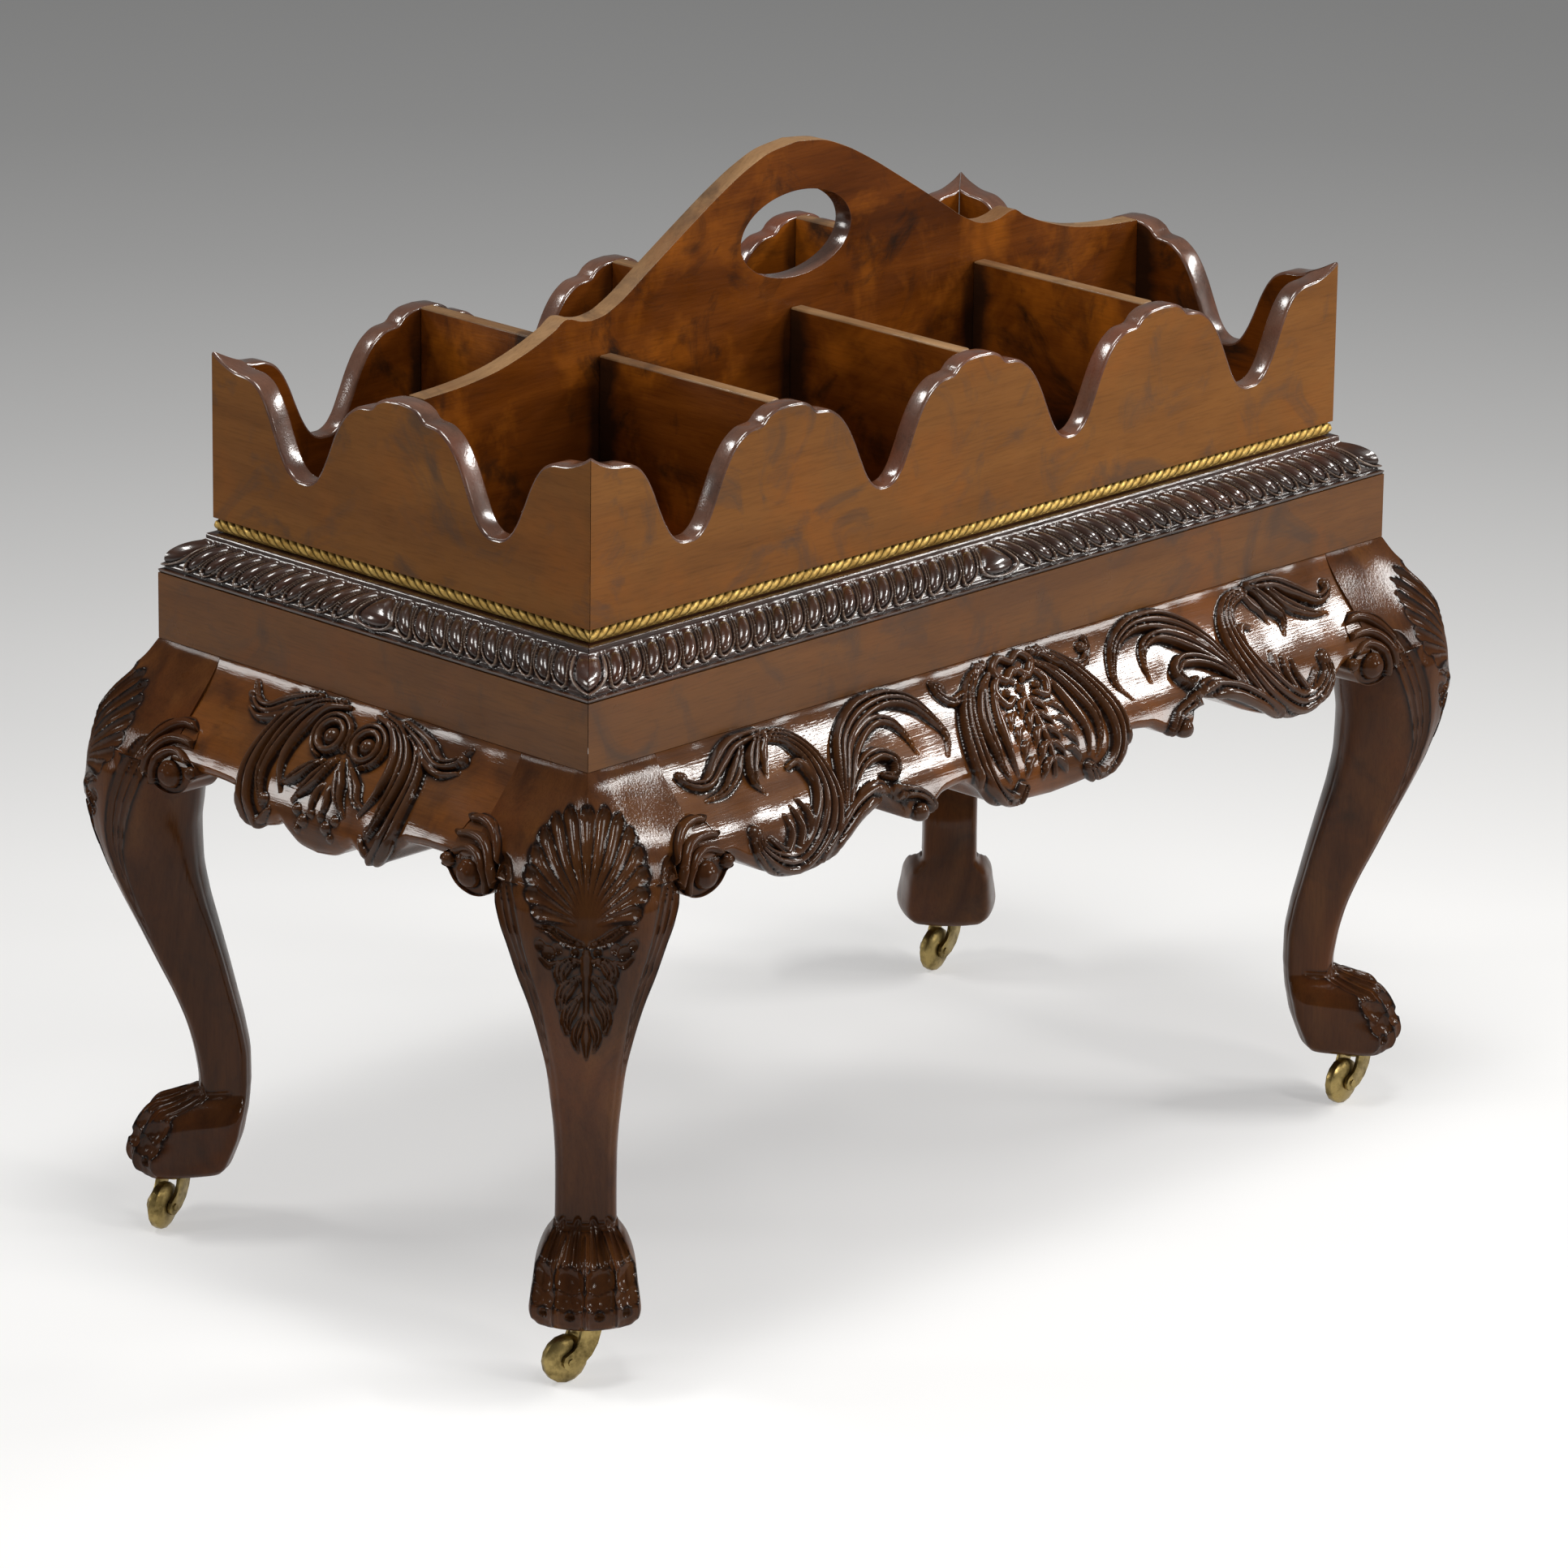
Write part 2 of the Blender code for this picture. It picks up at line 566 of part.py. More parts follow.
def scroll_bmesh(half, edge, stations, side):
    # A ridge that follows the apron's bulging face, its foot let into it
    places = []
    for x_share, down_share, width_share in stations:
        drop = (read_edge(edge, half * x_share) - APRON_ROLL) * down_share
        places.append((Vector((side * half * x_share, -bulge(drop), -drop)), face_normal(drop), width_share))
    rings = []
    for i, (place, normal, width_share) in enumerate(places):
        along = places[min(i + 1, len(places) - 1)][0] - places[max(i - 1, 0)][0]
        across = along.cross(normal).normalized() * SCROLL_HALF * width_share
        crest = place + normal * SCROLL_PROUD * min(1, width_share)
        foot = place - normal * SCROLL_SINK
        rings.append([foot - across, crest, foot + across])
    return loft(rings)


def apron_mesh(name, length, depth, edge_shares, deepest, scrolls):
    # A bulging board with a shaped lower edge, lofted along its length, and scrolls
    half = length / 2 - LEG_WING - CLEAR
    edge = [(half * x, APRON_EDGE + (deepest - APRON_EDGE) * drop) for x, drop in edge_shares]
    rings = []
    for x, drop in mirrored(edge):
        front = drop - APRON_ROLL
        ring = [(x, APRON_BACK, 0)]
        ring += [(x, -bulge(front * share), -front * share) for share in FRONT_SHARES]
        ring += [(x, APRON_ROLL - bulge(front), -drop), (x, APRON_BACK, -drop)]
        rings.append(ring)
    pieces = [loft(rings)]
    pieces += [scroll_bmesh(half, edge, stations, side) for stations in scrolls for side in (-1, 1)]
    mesh = boolean_mesh(name, pieces, [], CARVED_KEPT_SHARE)
    mesh.transform(Matrix.Translation((0, -depth / 2, LEG_TOP)))
    return mesh


def both_sides(half_ring):
    # Front middle first, round one side to the back middle, then the other side
    return half_ring + [(s, -t) for s, t in reversed(half_ring[1:-1])]


def diagonal(u, v):
    # From distances inwards along both sides of the corner to out and across
    return (-(u + v) / math.sqrt(2), (u - v) / math.sqrt(2))


def knee_ring(drop, rise_share):
    # The leg's head, which carries the aprons' bulge round the corner
    out = bulge(drop)
    front = KNEE_PROUD * rise_share
    face = diagonal(KNEE_FACE, -out)
    crown = 1 + CROWN_SHARE * min(1, drop / APRON_PROUD)
    half_ring = [(front + (face[0] - front) * share ** crown, face[1] * share)
                 for share in FACE_SHARES]
    half_ring += [diagonal(LEG_WING, -out), diagonal(LEG_WING, APRON_BACK),
                  diagonal(LEG_BLOCK, APRON_BACK), (-LEG_BLOCK, 0)]
    return both_sides(half_ring)


def leg_ring(shares, toe):
    front_share, back_share, half_share, hollow, rear = shares
    front = KNEE_PROUD * front_share
    back = -LEG_SET * back_share
    half = KNEE_HALF * half_share
    edge = half * FACE_EDGE_SHARE
    ridges = (-1, 1, -1, 1, 0)
    half_ring = [(front - hollow * half * share ** 2 + toe * ridge, edge * share)
                 for share, ridge in zip(FACE_SHARES, ridges)]
    half_ring += [(front - half * (hollow + SIDE_FALL_SHARE), half),
                  (back + half * REAR_SET_SHARE, half * rear),
                  (back + half * HEEL_SET_SHARE, half * rear * HEEL_WIDTH_SHARE), (back, 0)]
    return both_sides(half_ring)


def knee_point(rings, across, height, proud):
    # A point over the leg's face, read between the rings above and below it
    edge = len(FACE_SHARES) - 1
    for upper, lower in zip(rings, rings[1:]):
        if lower[0][2] <= height <= upper[0][2]:
            share = (height - lower[0][2]) / (upper[0][2] - lower[0][2])
            front = Vector(lower[0]).lerp(Vector(upper[0]), share)
            side = Vector(lower[edge]).lerp(Vector(upper[edge]), share)
            out = front.x + (side.x - front.x) * (across / side.y) ** 2
            facing = Vector((upper[0][2] - lower[0][2], 0, lower[0][0] - upper[0][0])).normalized()
            return Vector((out, across, height)) + facing * proud


def shell_bmesh(rings):
    # A fan of ribs on the knee, from its root below up and round to its rim
    sections = []
    root = LEG_HEIGHT - SHELL_ROOT_DROP
    for i in range(2 * SHELL_RIB_COUNT + 1):
        turn = SHELL_SWEEP * (i / SHELL_RIB_COUNT - 1)
        rim, heights = (1, RIB_SHARES) if i % 2 else (RIM_SHARE, HOLLOW_SHARES)
        across = SHELL_HALF * rim * math.sin(turn)
        rise = SHELL_ROOT_DROP - SHELL_CENTRE_DROP + SHELL_RISE * rim * math.cos(turn)
        section = [knee_point(rings, across * ray, root + rise * ray, SHELL_PROUD * height)
                   for ray, height in zip(RAY_SHARES, heights)]
        section += [knee_point(rings, across * ray, root + rise * ray, -SHELL_SINK)
                    for ray in (RAY_SHARES[-1], RAY_SHARES[0])]
        sections.append(section)
    return loft(sections)


def leg_mesh():
    rings = []
    for share, rise in zip(WING_SHARES, KNEE_RISE_SHARES):
        drop = APRON_EDGE * share
        rings.append([(s, t, LEG_HEIGHT - drop) for s, t in knee_ring(drop, rise)])
    under = LEG_HEIGHT - APRON_EDGE - WING_STEP
    rings.append([(s, t, under) for s, t in leg_ring(UNDER_WING_SHARES, 0)])
    for drop_share, *shares in LEG_SHARES:
        toe = TOE_DEPTH if drop_share > TOE_TOP_SHARE else 0
        rings.append([(s, t, LEG_HEIGHT * (1 - drop_share)) for s, t in leg_ring(shares, toe)])
    return boolean_mesh("leg", [loft(rings), shell_bmesh(rings)], [])


def leg_side():
    # The furthest that the leg reaches along the apron beside the ear
    shares = [UNDER_WING_SHARES] + [row[1:] for row in LEG_SHARES[:2]]
    return max((t - s) / math.sqrt(2) for row in shares for s, t in leg_ring(row, 0)[4:8])


def ear_ring(y, inset):
    # A scroll seen from the front: flat on top, one volute at its outer end
    centre = (EAR_LENGTH - EAR_RADIUS, EAR_RADIUS - EAR_HEIGHT)
    curl = arc(centre, EAR_RADIUS - inset, EAR_TURN, EAR_TURN - HALF_TURN, CURL_STEPS)
    outline = [(0, 0), (EAR_LENGTH - EAR_BEVEL - inset, 0)] + curl
    outline.append((0, EAR_RADIUS / 2 + inset - EAR_HEIGHT))
    return [(x, y, z) for x, z in outline]


def ear_mesh():
    face = EAR_THICK / 2
    rings = [ear_ring(-face, EAR_BEVEL), ear_ring(EAR_BEVEL - face, 0),
             ear_ring(face - EAR_BEVEL, 0), ear_ring(face, EAR_BEVEL)]
    return finished_mesh("ear", loft(rings))


def build_stand(group, wood, dark_wood):
    stand = add_empty("stand", group, (0, 0, 0))
    inner_length = STAND_LENGTH - 2 * GADROON_WIDTH - 2 * CLEAR
    inner_depth = STAND_DEPTH - 2 * GADROON_WIDTH - 2 * CLEAR
    board = box_bmesh((-inner_length / 2, -inner_depth / 2, GADROON_BOTTOM),
                      (inner_length / 2, inner_depth / 2, STAND_TOP))
    add_object("platform", finished_mesh("platform", board), dark_wood, group, parent=stand)
    sides = (("front", STAND_LENGTH, STAND_DEPTH, 0.0), ("back", STAND_LENGTH, STAND_DEPTH, HALF_TURN),
             ("left", STAND_DEPTH, STAND_LENGTH, -QUARTER), ("right", STAND_DEPTH, STAND_LENGTH, QUARTER))
    makers = (("gadroon", gadroon_mesh, dark_wood), ("frieze", frieze_mesh, wood))
    for kind, make, material in makers:
        meshes = {length: make(kind, length, depth) for _, length, depth, _ in sides}
        for side, length, depth, turn in sides:
            add_object(f"{kind}_{side}", meshes[length], material, group, turn=turn, parent=stand)
    long_apron = apron_mesh("long_apron", STAND_LENGTH, STAND_DEPTH, LONG_EDGE_SHARES,
                            LONG_APRON_DROP, LONG_SCROLL_SHARES)
    end_apron = apron_mesh("end_apron", STAND_DEPTH, STAND_LENGTH, END_EDGE_SHARES,
                           END_APRON_DROP, END_SCROLL_SHARES)
    for side, length, depth, turn in sides:
        mesh = long_apron if length > depth else end_apron
        add_object(f"apron_{side}", mesh, dark_wood, group, turn=turn, parent=stand)
    return stand


def build_corners(group, stand, wood, dark_wood, brass):
    # Legs, ears, blocks and castors at the four corners, near left first
    leg = leg_mesh()
    ear = ear_mesh()
    block = block_mesh()
    ear_start = leg_side() + CLEAR
    ear_out = APRON_PROUD + EAR_PROUD - EAR_THICK / 2
    ear_z = LEG_TOP - APRON_EDGE - CLEAR
    corners = ((-1, -1), (1, -1), (1, 1), (-1, 1))
    plate, horn, wheel = plate_mesh(), horn_mesh(), wheel_mesh()
    for number, (sx, sy) in enumerate(corners, 1):
        x, y = sx * STAND_LENGTH / 2, sy * STAND_DEPTH / 2
        turn = math.atan2(sy, sx)
        add_object(f"leg_{number}", leg, dark_wood, group, (x, y, FOOT_BOTTOM), turn, stand)
        add_object(f"corner_block_{number}", block, wood, group, (x, y, 0), turn, stand)
        long_turn = 0.0 if sx < 0 else HALF_TURN
        add_object(f"ear_{number}_long", ear, dark_wood, group,
                   (x - sx * ear_start, y + sy * ear_out, ear_z), long_turn, stand)
        end_turn = QUARTER if sy < 0 else -QUARTER
        add_object(f"ear_{number}_end", ear, dark_wood, group,
                   (x + sx * ear_out, y - sy * ear_start, ear_z), end_turn, stand)
        build_castor(group, stand, number, x, y, turn, brass, (plate, horn, wheel))


def block_mesh():
    # A three-cornered glue block, its long face towards the middle of the stand
    inner = FRIEZE_BOARD + CLEAR
    outline = [diagonal(inner, inner), diagonal(inner + CORNER_BLOCK, inner),
               diagonal(inner, inner + CORNER_BLOCK)]
    low = FRIEZE_BOTTOM
    high = FRIEZE_BOTTOM + FRIEZE_HEIGHT
    rings = [[(s, t, z) for s, t in outline] for z in (low, high)]
    return finished_mesh("corner_block", loft(rings))


# Castors

def plate_mesh():
    # The plate under the foot with its headed pivot pin, turned as one piece
    head_bottom = BOSS_BOTTOM - CLEAR - PIN_HEAD_HEIGHT
    head_top = BOSS_BOTTOM - CLEAR
    plate_top = PLATE_BOTTOM + PLATE_THICK
    profile = ((0, plate_top), (PLATE_RADIUS, plate_top), (PLATE_RADIUS, PLATE_BOTTOM),
               (PIN_RADIUS, PLATE_BOTTOM), (PIN_RADIUS, head_top), (PIN_HEAD_RADIUS, head_top),
               (PIN_HEAD_RADIUS, head_bottom), (0, head_bottom))
    return profile_mesh("castor_plate", profile)


def profile_mesh(name, profile, closed=False):
    # A profile given as radius and height, down its outer side
    count = len(profile)
    edges = [(i, (i + 1) % count) for i in range(count if closed else count - 1)]
    mesh = bpy.data.meshes.new(name)
    mesh.from_pydata([(radius, 0, height) for radius, height in profile], edges, [])
    return mesh


def turn_profile(thing, steps):
    turned = thing.modifiers.new("turned", "SCREW")
    turned.steps = steps
    turned.render_steps = steps
    turned.use_merge_vertices = True
    turned.merge_threshold = MERGE_DISTANCE


def wheel_mesh():
    # Rounded tread, dished faces and a bore for the axle
    radius = WHEEL_DIAMETER / 2
    half = WHEEL_WIDTH / 2
    bore = AXLE_RADIUS + WHEEL_BORE_GAP
    hub = bore + FORK_ARM
    side = [(bore, half), (hub, half), (radius - WHEEL_ROUND, half - WHEEL_FACE_DIP),
            (radius, half - WHEEL_ROUND)]
    profile = side + [(r, -z) for r, z in reversed(side)]
    return profile_mesh("castor_wheel", profile, closed=True)


def arm_outline():
    # A horn that tapers from the boss down and back to the axle's eye
    start = Vector((0, BOSS_BOTTOM + BOSS_HEIGHT / 2))
    bend = Vector((FORK_EYE / 2, AXLE_Z + FORK_EYE / 2))
    end = Vector((TRAIL, AXLE_Z))
    left, right = [], []
    for i in range(ARM_STEPS):
        share = i / ARM_STEPS
        point = start * (1 - share) ** 2 + bend * 2 * share * (1 - share) + end * share ** 2
        heading = (bend - start) * (1 - share) + (end - bend) * share
        across = Vector((-heading.y, heading.x)).normalized()
        half = FORK_ROOT * (1 - share) + FORK_EYE * share
        left.append(tuple(point + across * half))
        right.append(tuple(point - across * half))
    last = math.atan2(end.y - bend.y, end.x - bend.x)
    return right + arc(end, FORK_EYE, last - QUARTER, last + QUARTER, EYE_STEPS) + left[::-1]


def horn_mesh():
    # Boss on the pivot pin, two arms beside the wheel and the riveted axle
    arm_middle = WHEEL_WIDTH / 2 + WHEEL_GAP + FORK_ARM / 2
    body = cylinder_bmesh(BOSS_RADIUS, BOSS_BOTTOM, BOSS_BOTTOM + BOSS_HEIGHT)
    pieces = [body]
    for side in (-1, 1):
        arm = outline_bmesh([arm_outline()], FORK_ARM)
        bmesh.ops.translate(arm, verts=arm.verts, vec=(0, side * arm_middle, 0))
        cut_with_plane(arm, (0, 0, BOSS_BOTTOM + BOSS_HEIGHT - CLEAR), (0, 0, 1))
        pieces.append(arm)
    reach = arm_middle + FORK_ARM / 2 + PIN_HEAD_HEIGHT
    axle = cylinder_bmesh(AXLE_RADIUS, -reach, reach, ROUND_STEPS // 2)
    bmesh.ops.rotate(axle, verts=axle.verts, matrix=Matrix.Rotation(QUARTER, 3, "X"))
    bmesh.ops.translate(axle, verts=axle.verts, vec=(TRAIL, 0, AXLE_Z))
    pieces.append(axle)
    bore = cylinder_bmesh(PIN_RADIUS + PIN_GAP, BOSS_BOTTOM - OVERRUN, PLATE_BOTTOM + OVERRUN)
    return boolean_mesh("castor_horn", pieces, [bore])


def build_castor(group, stand, number, x, y, turn, brass, meshes):
    # The swivel empty stands on the pin's axis and the wheel's on its axle
    plate, horn, wheel = meshes
    pivot = (x - CASTOR_SET * math.cos(turn), y - CASTOR_SET * math.sin(turn), 0)
    fixed = add_object(f"castor_plate_{number}", plate, brass, group, pivot, parent=stand)
    turn_profile(fixed, PIN_STEPS)
    swivel = add_empty(f"swivel_{number}", group, pivot, CASTOR_TURNS[number - 1], stand)
    add_object(f"castor_horn_{number}", horn, brass, group, parent=swivel)
    roller = add_object(f"castor_wheel_{number}", wheel, brass, group, (TRAIL, 0, AXLE_Z), parent=swivel)
    roller.rotation_euler = (QUARTER, 0, 0)
    turn_profile(roller, ROUND_STEPS)


def main():
    for thing in list(bpy.data.objects):
        bpy.data.objects.remove(thing)
    group = new_collection("bottle_carrier_with_stand")
    warm = new_material("mahogany", (0.17, 0.065, 0.027), 0.32, 0.0)
    dark = new_material("carved_mahogany", (0.055, 0.016, 0.008), 0.18, 0.0)
    rope = new_material("bead_brass", (0.55, 0.36, 0.09), 0.35, 1.0)
    aged = new_material("castor_brass", (0.28, 0.20, 0.08), 0.38, 1.0)
    build_carrier(group, warm, rope)
    stand = build_stand(group, warm, dark)
    build_corners(group, stand, warm, dark, aged)


main()
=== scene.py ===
# Bottle carrier on a carved mahogany stand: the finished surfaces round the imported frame
import math
import bpy
import bmesh
import numpy as np
from mathutils import Matrix, Vector


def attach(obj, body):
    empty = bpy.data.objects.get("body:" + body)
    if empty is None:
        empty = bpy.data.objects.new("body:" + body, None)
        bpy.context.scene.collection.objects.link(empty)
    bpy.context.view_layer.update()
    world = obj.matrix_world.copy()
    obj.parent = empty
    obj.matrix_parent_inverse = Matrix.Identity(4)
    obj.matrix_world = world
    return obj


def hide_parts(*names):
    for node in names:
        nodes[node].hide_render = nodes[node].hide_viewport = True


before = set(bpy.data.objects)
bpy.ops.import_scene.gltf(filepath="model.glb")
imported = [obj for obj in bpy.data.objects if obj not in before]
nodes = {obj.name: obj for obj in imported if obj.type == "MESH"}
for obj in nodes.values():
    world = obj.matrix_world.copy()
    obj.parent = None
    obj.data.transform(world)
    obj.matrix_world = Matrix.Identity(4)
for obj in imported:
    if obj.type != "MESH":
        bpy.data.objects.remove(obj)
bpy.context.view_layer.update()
quarterTurn = math.radians(90)
sideTurns = {"front": 0, "back": math.pi, "left": -quarterTurn, "right": quarterTurn}
print("frame loaded:", len(nodes), "nodes")

# Sizes that several pieces share, in metres, as in the solids; carrier and stand are length and depth
whole = {
    "carrier": (0.600, 0.295),
    "stand": (0.644, 0.3374),
    "gap": 0.0003,
    "legTop": 0.3436,
    "legHeight": 0.3089,
    "gadroonBottom": 0.3817,
    "carrierBottom": 0.4047,
    "wallBottom": 0.4130,
    "wallHeight": 0.0955,
    "carvedAngle": 60,
}


# Curves and meshes

def smoothRead(keys, values, at):
    # An even curve through hand-set points that never swings past them
    keys = np.asarray(keys, float)
    values = np.asarray(values, float).reshape(len(keys), -1)
    at = np.atleast_1d(np.asarray(at, float))
    gap = np.diff(keys)[:, None]
    rise = np.diff(values, axis=0) / gap
    slope = np.zeros_like(values)
    slope[0] = rise[0]
    slope[-1] = rise[-1]
    weightA = 2 * gap[1:] + gap[:-1]
    weightB = gap[1:] + 2 * gap[:-1]
    level = rise[1:] * rise[:-1] <= 0
    before = np.where(level, 1, rise[:-1])
    after = np.where(level, 1, rise[1:])
    slope[1:-1] = np.where(level, 0, (weightA + weightB) / (weightA / before + weightB / after))
    i = np.clip(np.searchsorted(keys, at) - 1, 0, len(keys) - 2)
    width = gap[i]
    t = (at - keys[i])[:, None] / width
    return ((1 + 2 * t) * (1 - t) ** 2 * values[i] + t * (1 - t) ** 2 * width * slope[i]
            + t * t * (3 - 2 * t) * values[i + 1] + t * t * (t - 1) * width * slope[i + 1])


def unit(value):
    return np.clip(value, 0, 1)


def readTable(table, at):
    # The second column of a table, read evenly between the rows
    return smoothRead(*zip(*table), at)[:, 0]


def between(a, b, c, d, t):
    # A rounded step from b to c on the way from a to d
    return 0.5 * (2 * b + (c - a) * t + (2 * a - 5 * b + 4 * c - d) * t * t + (3 * b - a - 3 * c + d) * t ** 3)


def throughPoints(points, count):
    # A rounded line through a few points, evenly spaced
    points = np.asarray(points, float)
    if len(points) > 2:
        ends = np.vstack([2 * points[0] - points[1], points, 2 * points[-1] - points[-2]])
        shares = np.linspace(0, 1, 12, endpoint=False)
        line = [between(*ends[i:i + 4], t) for i in range(len(points) - 1) for t in shares]
        points = np.vstack(line + [points[-1]])
    run = np.concatenate([[0], np.cumsum(np.linalg.norm(np.diff(points, axis=0), axis=1))])
    at = np.linspace(0, run[-1], count)
    return np.stack([np.interp(at, run, points[:, k]) for k in range(points.shape[1])], axis=1)


def readCoords(mesh):
    flat = np.empty(len(mesh.vertices) * 3)
    mesh.vertices.foreach_get("co", flat)
    return flat.reshape(-1, 3)


def placed(name, data):
    thing = bpy.data.objects.new(name, data)
    bpy.context.scene.collection.objects.link(thing)
    return thing


def bmeshOf(mesh):
    bm = bmesh.new()
    bm.from_mesh(mesh)
    return bm


def meshOf(bm, name):
    mesh = bpy.data.meshes.new(name)
    bm.to_mesh(mesh)
    bm.free()
    return mesh


def ontoBody(name, mesh, body, stands, materials):
    # A finished piece: it rides on its body and stands for the plain solids
    mesh.name = name
    for material in materials:
        mesh.materials.append(material)
    piece = placed(name, mesh)
    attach(piece, body)
    if stands:
        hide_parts(*stands)
    return piece


def smoothMesh(bm, name, sharp=35):
    mesh = meshOf(bm, name)
    mesh.shade_smooth()
    mesh.set_sharp_from_angle(angle=math.radians(sharp))
    return mesh


def turned(mesh, angle, move=(0, 0, 0)):
    copy = mesh.copy()
    copy.transform(Matrix.Translation(move) @ Matrix.Rotation(angle, 4, "Z"))
    return copy


def roundArrises(bm, edges, width, segments):
    bmesh.ops.bevel(bm, geom=edges, offset=width, offset_type="OFFSET", segments=segments,
                    profile=0.5, affect="EDGES", clamp_overlap=True, material=-1)


def softened(node, width):
    # A node's own shape with its arrises taken off
    bm = bmeshOf(nodes[node].data)
    bmesh.ops.remove_doubles(bm, verts=bm.verts, dist=0.00001)
    bmesh.ops.dissolve_limit(bm, angle_limit=math.radians(0.5), verts=bm.verts, edges=bm.edges)
    sharp = math.radians(32)
    edges = [e for e in bm.edges if len(e.link_faces) == 2 and e.calc_face_angle() > sharp]
    roundArrises(bm, edges, width, 2)
    return smoothMesh(bm, node, 30)


def mitreEnds(bm, length, depth, slope=(1, 1)):
    # Cuts both ends of a rail at the front, where it meets its neighbours at the corners
    for side in (-1, 1):
        normal = Vector((side * slope[0], slope[1], 0)).normalized()
        corner = Vector((side * length / 2, -depth / 2, 0))
        parts = bm.verts[:] + bm.edges[:] + bm.faces[:]
        cut = bmesh.ops.bisect_plane(bm, geom=parts, dist=1e-6, plane_co=corner - normal * whole["gap"] / 2,
                                     plane_no=normal, clear_outer=True)
        bmesh.ops.holes_fill(bm, edges=[part for part in cut["geom_cut"] if isinstance(part, bmesh.types.BMEdge)])


def carvedRail(name, columns, rows, place, carve, length, depth):
    bm = bmeshOf(carvedGrid(name, columns, rows, place, carve, flip=True))
    mitreEnds(bm, length, depth)
    return smoothMesh(bm, name, whole["carvedAngle"])


def onFourSides(piece, node, body, meshes, finishes):
    # The long and the end form of a piece, each turned to both of its sides
    for side, turn in sideTurns.items():
        atEnd = side in ("left", "right")
        ontoBody(piece.format(side), turned(meshes[atEnd], turn), body, [node.format(side)], (finishes[atEnd],))


def blurred(field, passes):
    for _ in range(passes):
        wide = np.pad(field, 1, mode="edge")
        field = (wide[:-2, 1:-1] + wide[2:, 1:-1] + wide[1:-1, :-2] + wide[1:-1, 2:] + 4 * wide[1:-1, 1:-1]) / 8
    return field


grid = {"blurPasses": 10, "hollowDepth": 0.0012, "fullRelief": 0.005, "merge": 0.00002}


def carvedGrid(name, columns, rows, place, carve, flip=False, limit=None):
    # A grid laid over a surface and raised along its normals by the carving; u and v run from 0 to 1.
    # Its attributes tell the finish how hollow and how raised each point is
    bm = bmesh.new()
    bmesh.ops.create_grid(bm, x_segments=columns, y_segments=rows, size=0.5)
    mesh = meshOf(bm, name)
    u, v = (readCoords(mesh)[:, :2] + 0.5).T
    order = np.argsort(np.rint(v * rows) * (columns + 1) + np.rint(u * columns))
    base = place(u, v)
    mesh.vertices.foreach_set("co", base.ravel())
    if flip:
        mesh.flip_normals()
    mesh.update()
    normals = np.empty(len(mesh.vertices) * 3)
    mesh.vertex_normals.foreach_get("vector", normals)
    relief = carve(u, v, base)
    raised = base + normals.reshape(-1, 3) * relief[:, None]
    if limit is not None:
        raised = np.clip(raised, limit[0], limit[1])
    mesh.vertices.foreach_set("co", raised.ravel())
    field = relief[order].reshape(rows + 1, columns + 1)
    hollow = np.empty(len(relief))
    hollow[order] = ((blurred(field, grid["blurPasses"]) - field) / grid["hollowDepth"]).ravel()
    for label, values in (("hollow", np.clip(hollow, -1, 1)), ("raised", unit(relief / grid["fullRelief"]))):
        layer = mesh.attributes.new(label, "FLOAT", "POINT")
        layer.data.foreach_set("value", values.astype(np.float32))
    bm = bmeshOf(mesh)
    bmesh.ops.remove_doubles(bm, verts=bm.verts, dist=grid["merge"])
    bmesh.ops.holes_fill(bm, edges=[e for e in bm.edges if len(e.link_faces) == 1])
    bmesh.ops.recalc_face_normals(bm, faces=bm.faces)
    return smoothMesh(bm, name, whole["carvedAngle"])


# Carving: ridges, balls and cuts drawn on a surface, in millimetres across and down it

stroke = {"steps": 36, "roundness": 2.4, "ribbedRoundness": 5, "ribRoundness": 0.55, "taper": 1.6}


def ridge(at, points, halfWidths, height, ribs=1, cut=0.62):
    # A rounded ridge along a line, swelling and tapering, cut into ribs along its length
    line = throughPoints(points, stroke["steps"])
    if len(halfWidths) > 1:
        widths = throughPoints([[w] for w in halfWidths], stroke["steps"])[:, 0]
    else:
        widths = np.full(stroke["steps"], halfWidths[0])
    reach = widths.max()
    low = line.min(axis=0) - reach
    high = line.max(axis=0) + reach
    near = np.where(((at >= low) & (at <= high)).all(axis=1))[0]
    raised = np.zeros(len(at))
    if len(near) == 0:
        return raised
    spot = at[near]
    best = np.full(len(near), 1e9)
    across = np.zeros(len(near))
    width = np.ones(len(near))
    for i in range(len(line) - 1):
        step = line[i + 1] - line[i]
        away = spot - line[i]
        t = unit(away @ step / max(step @ step, 1e-9))
        miss = away - t[:, None] * step
        distance = np.hypot(miss[:, 0], miss[:, 1])
        here = widths[i] + (widths[i + 1] - widths[i]) * t
        share = distance / np.maximum(here, 0.05)
        closer = share < best
        best = np.where(closer, share, best)
        side = np.sign(step[0] * away[:, 1] - step[1] * away[:, 0])
        across = np.where(closer, side * share, across)
        width = np.where(closer, here, width)
    power = stroke["roundness" if ribs == 1 else "ribbedRoundness"]
    swell = np.sqrt(unit(1 - best ** power)) * (best < 1)
    if ribs > 1:
        phase = (np.clip(across, -1, 1) + 1) / 2 * ribs
        swell = swell * (1 - cut + cut * np.abs(np.sin(np.pi * phase)) ** stroke["ribRoundness"])
    raised[near] = height * swell * np.minimum(1, width / reach * stroke["taper"])
    return raised


def dome(share):
    return np.sqrt(unit(1 - share ** 2))


def ball(at, x, z, radius, height):
    return height * dome(np.hypot(at[:, 0] - x, at[:, 1] - z) / radius)


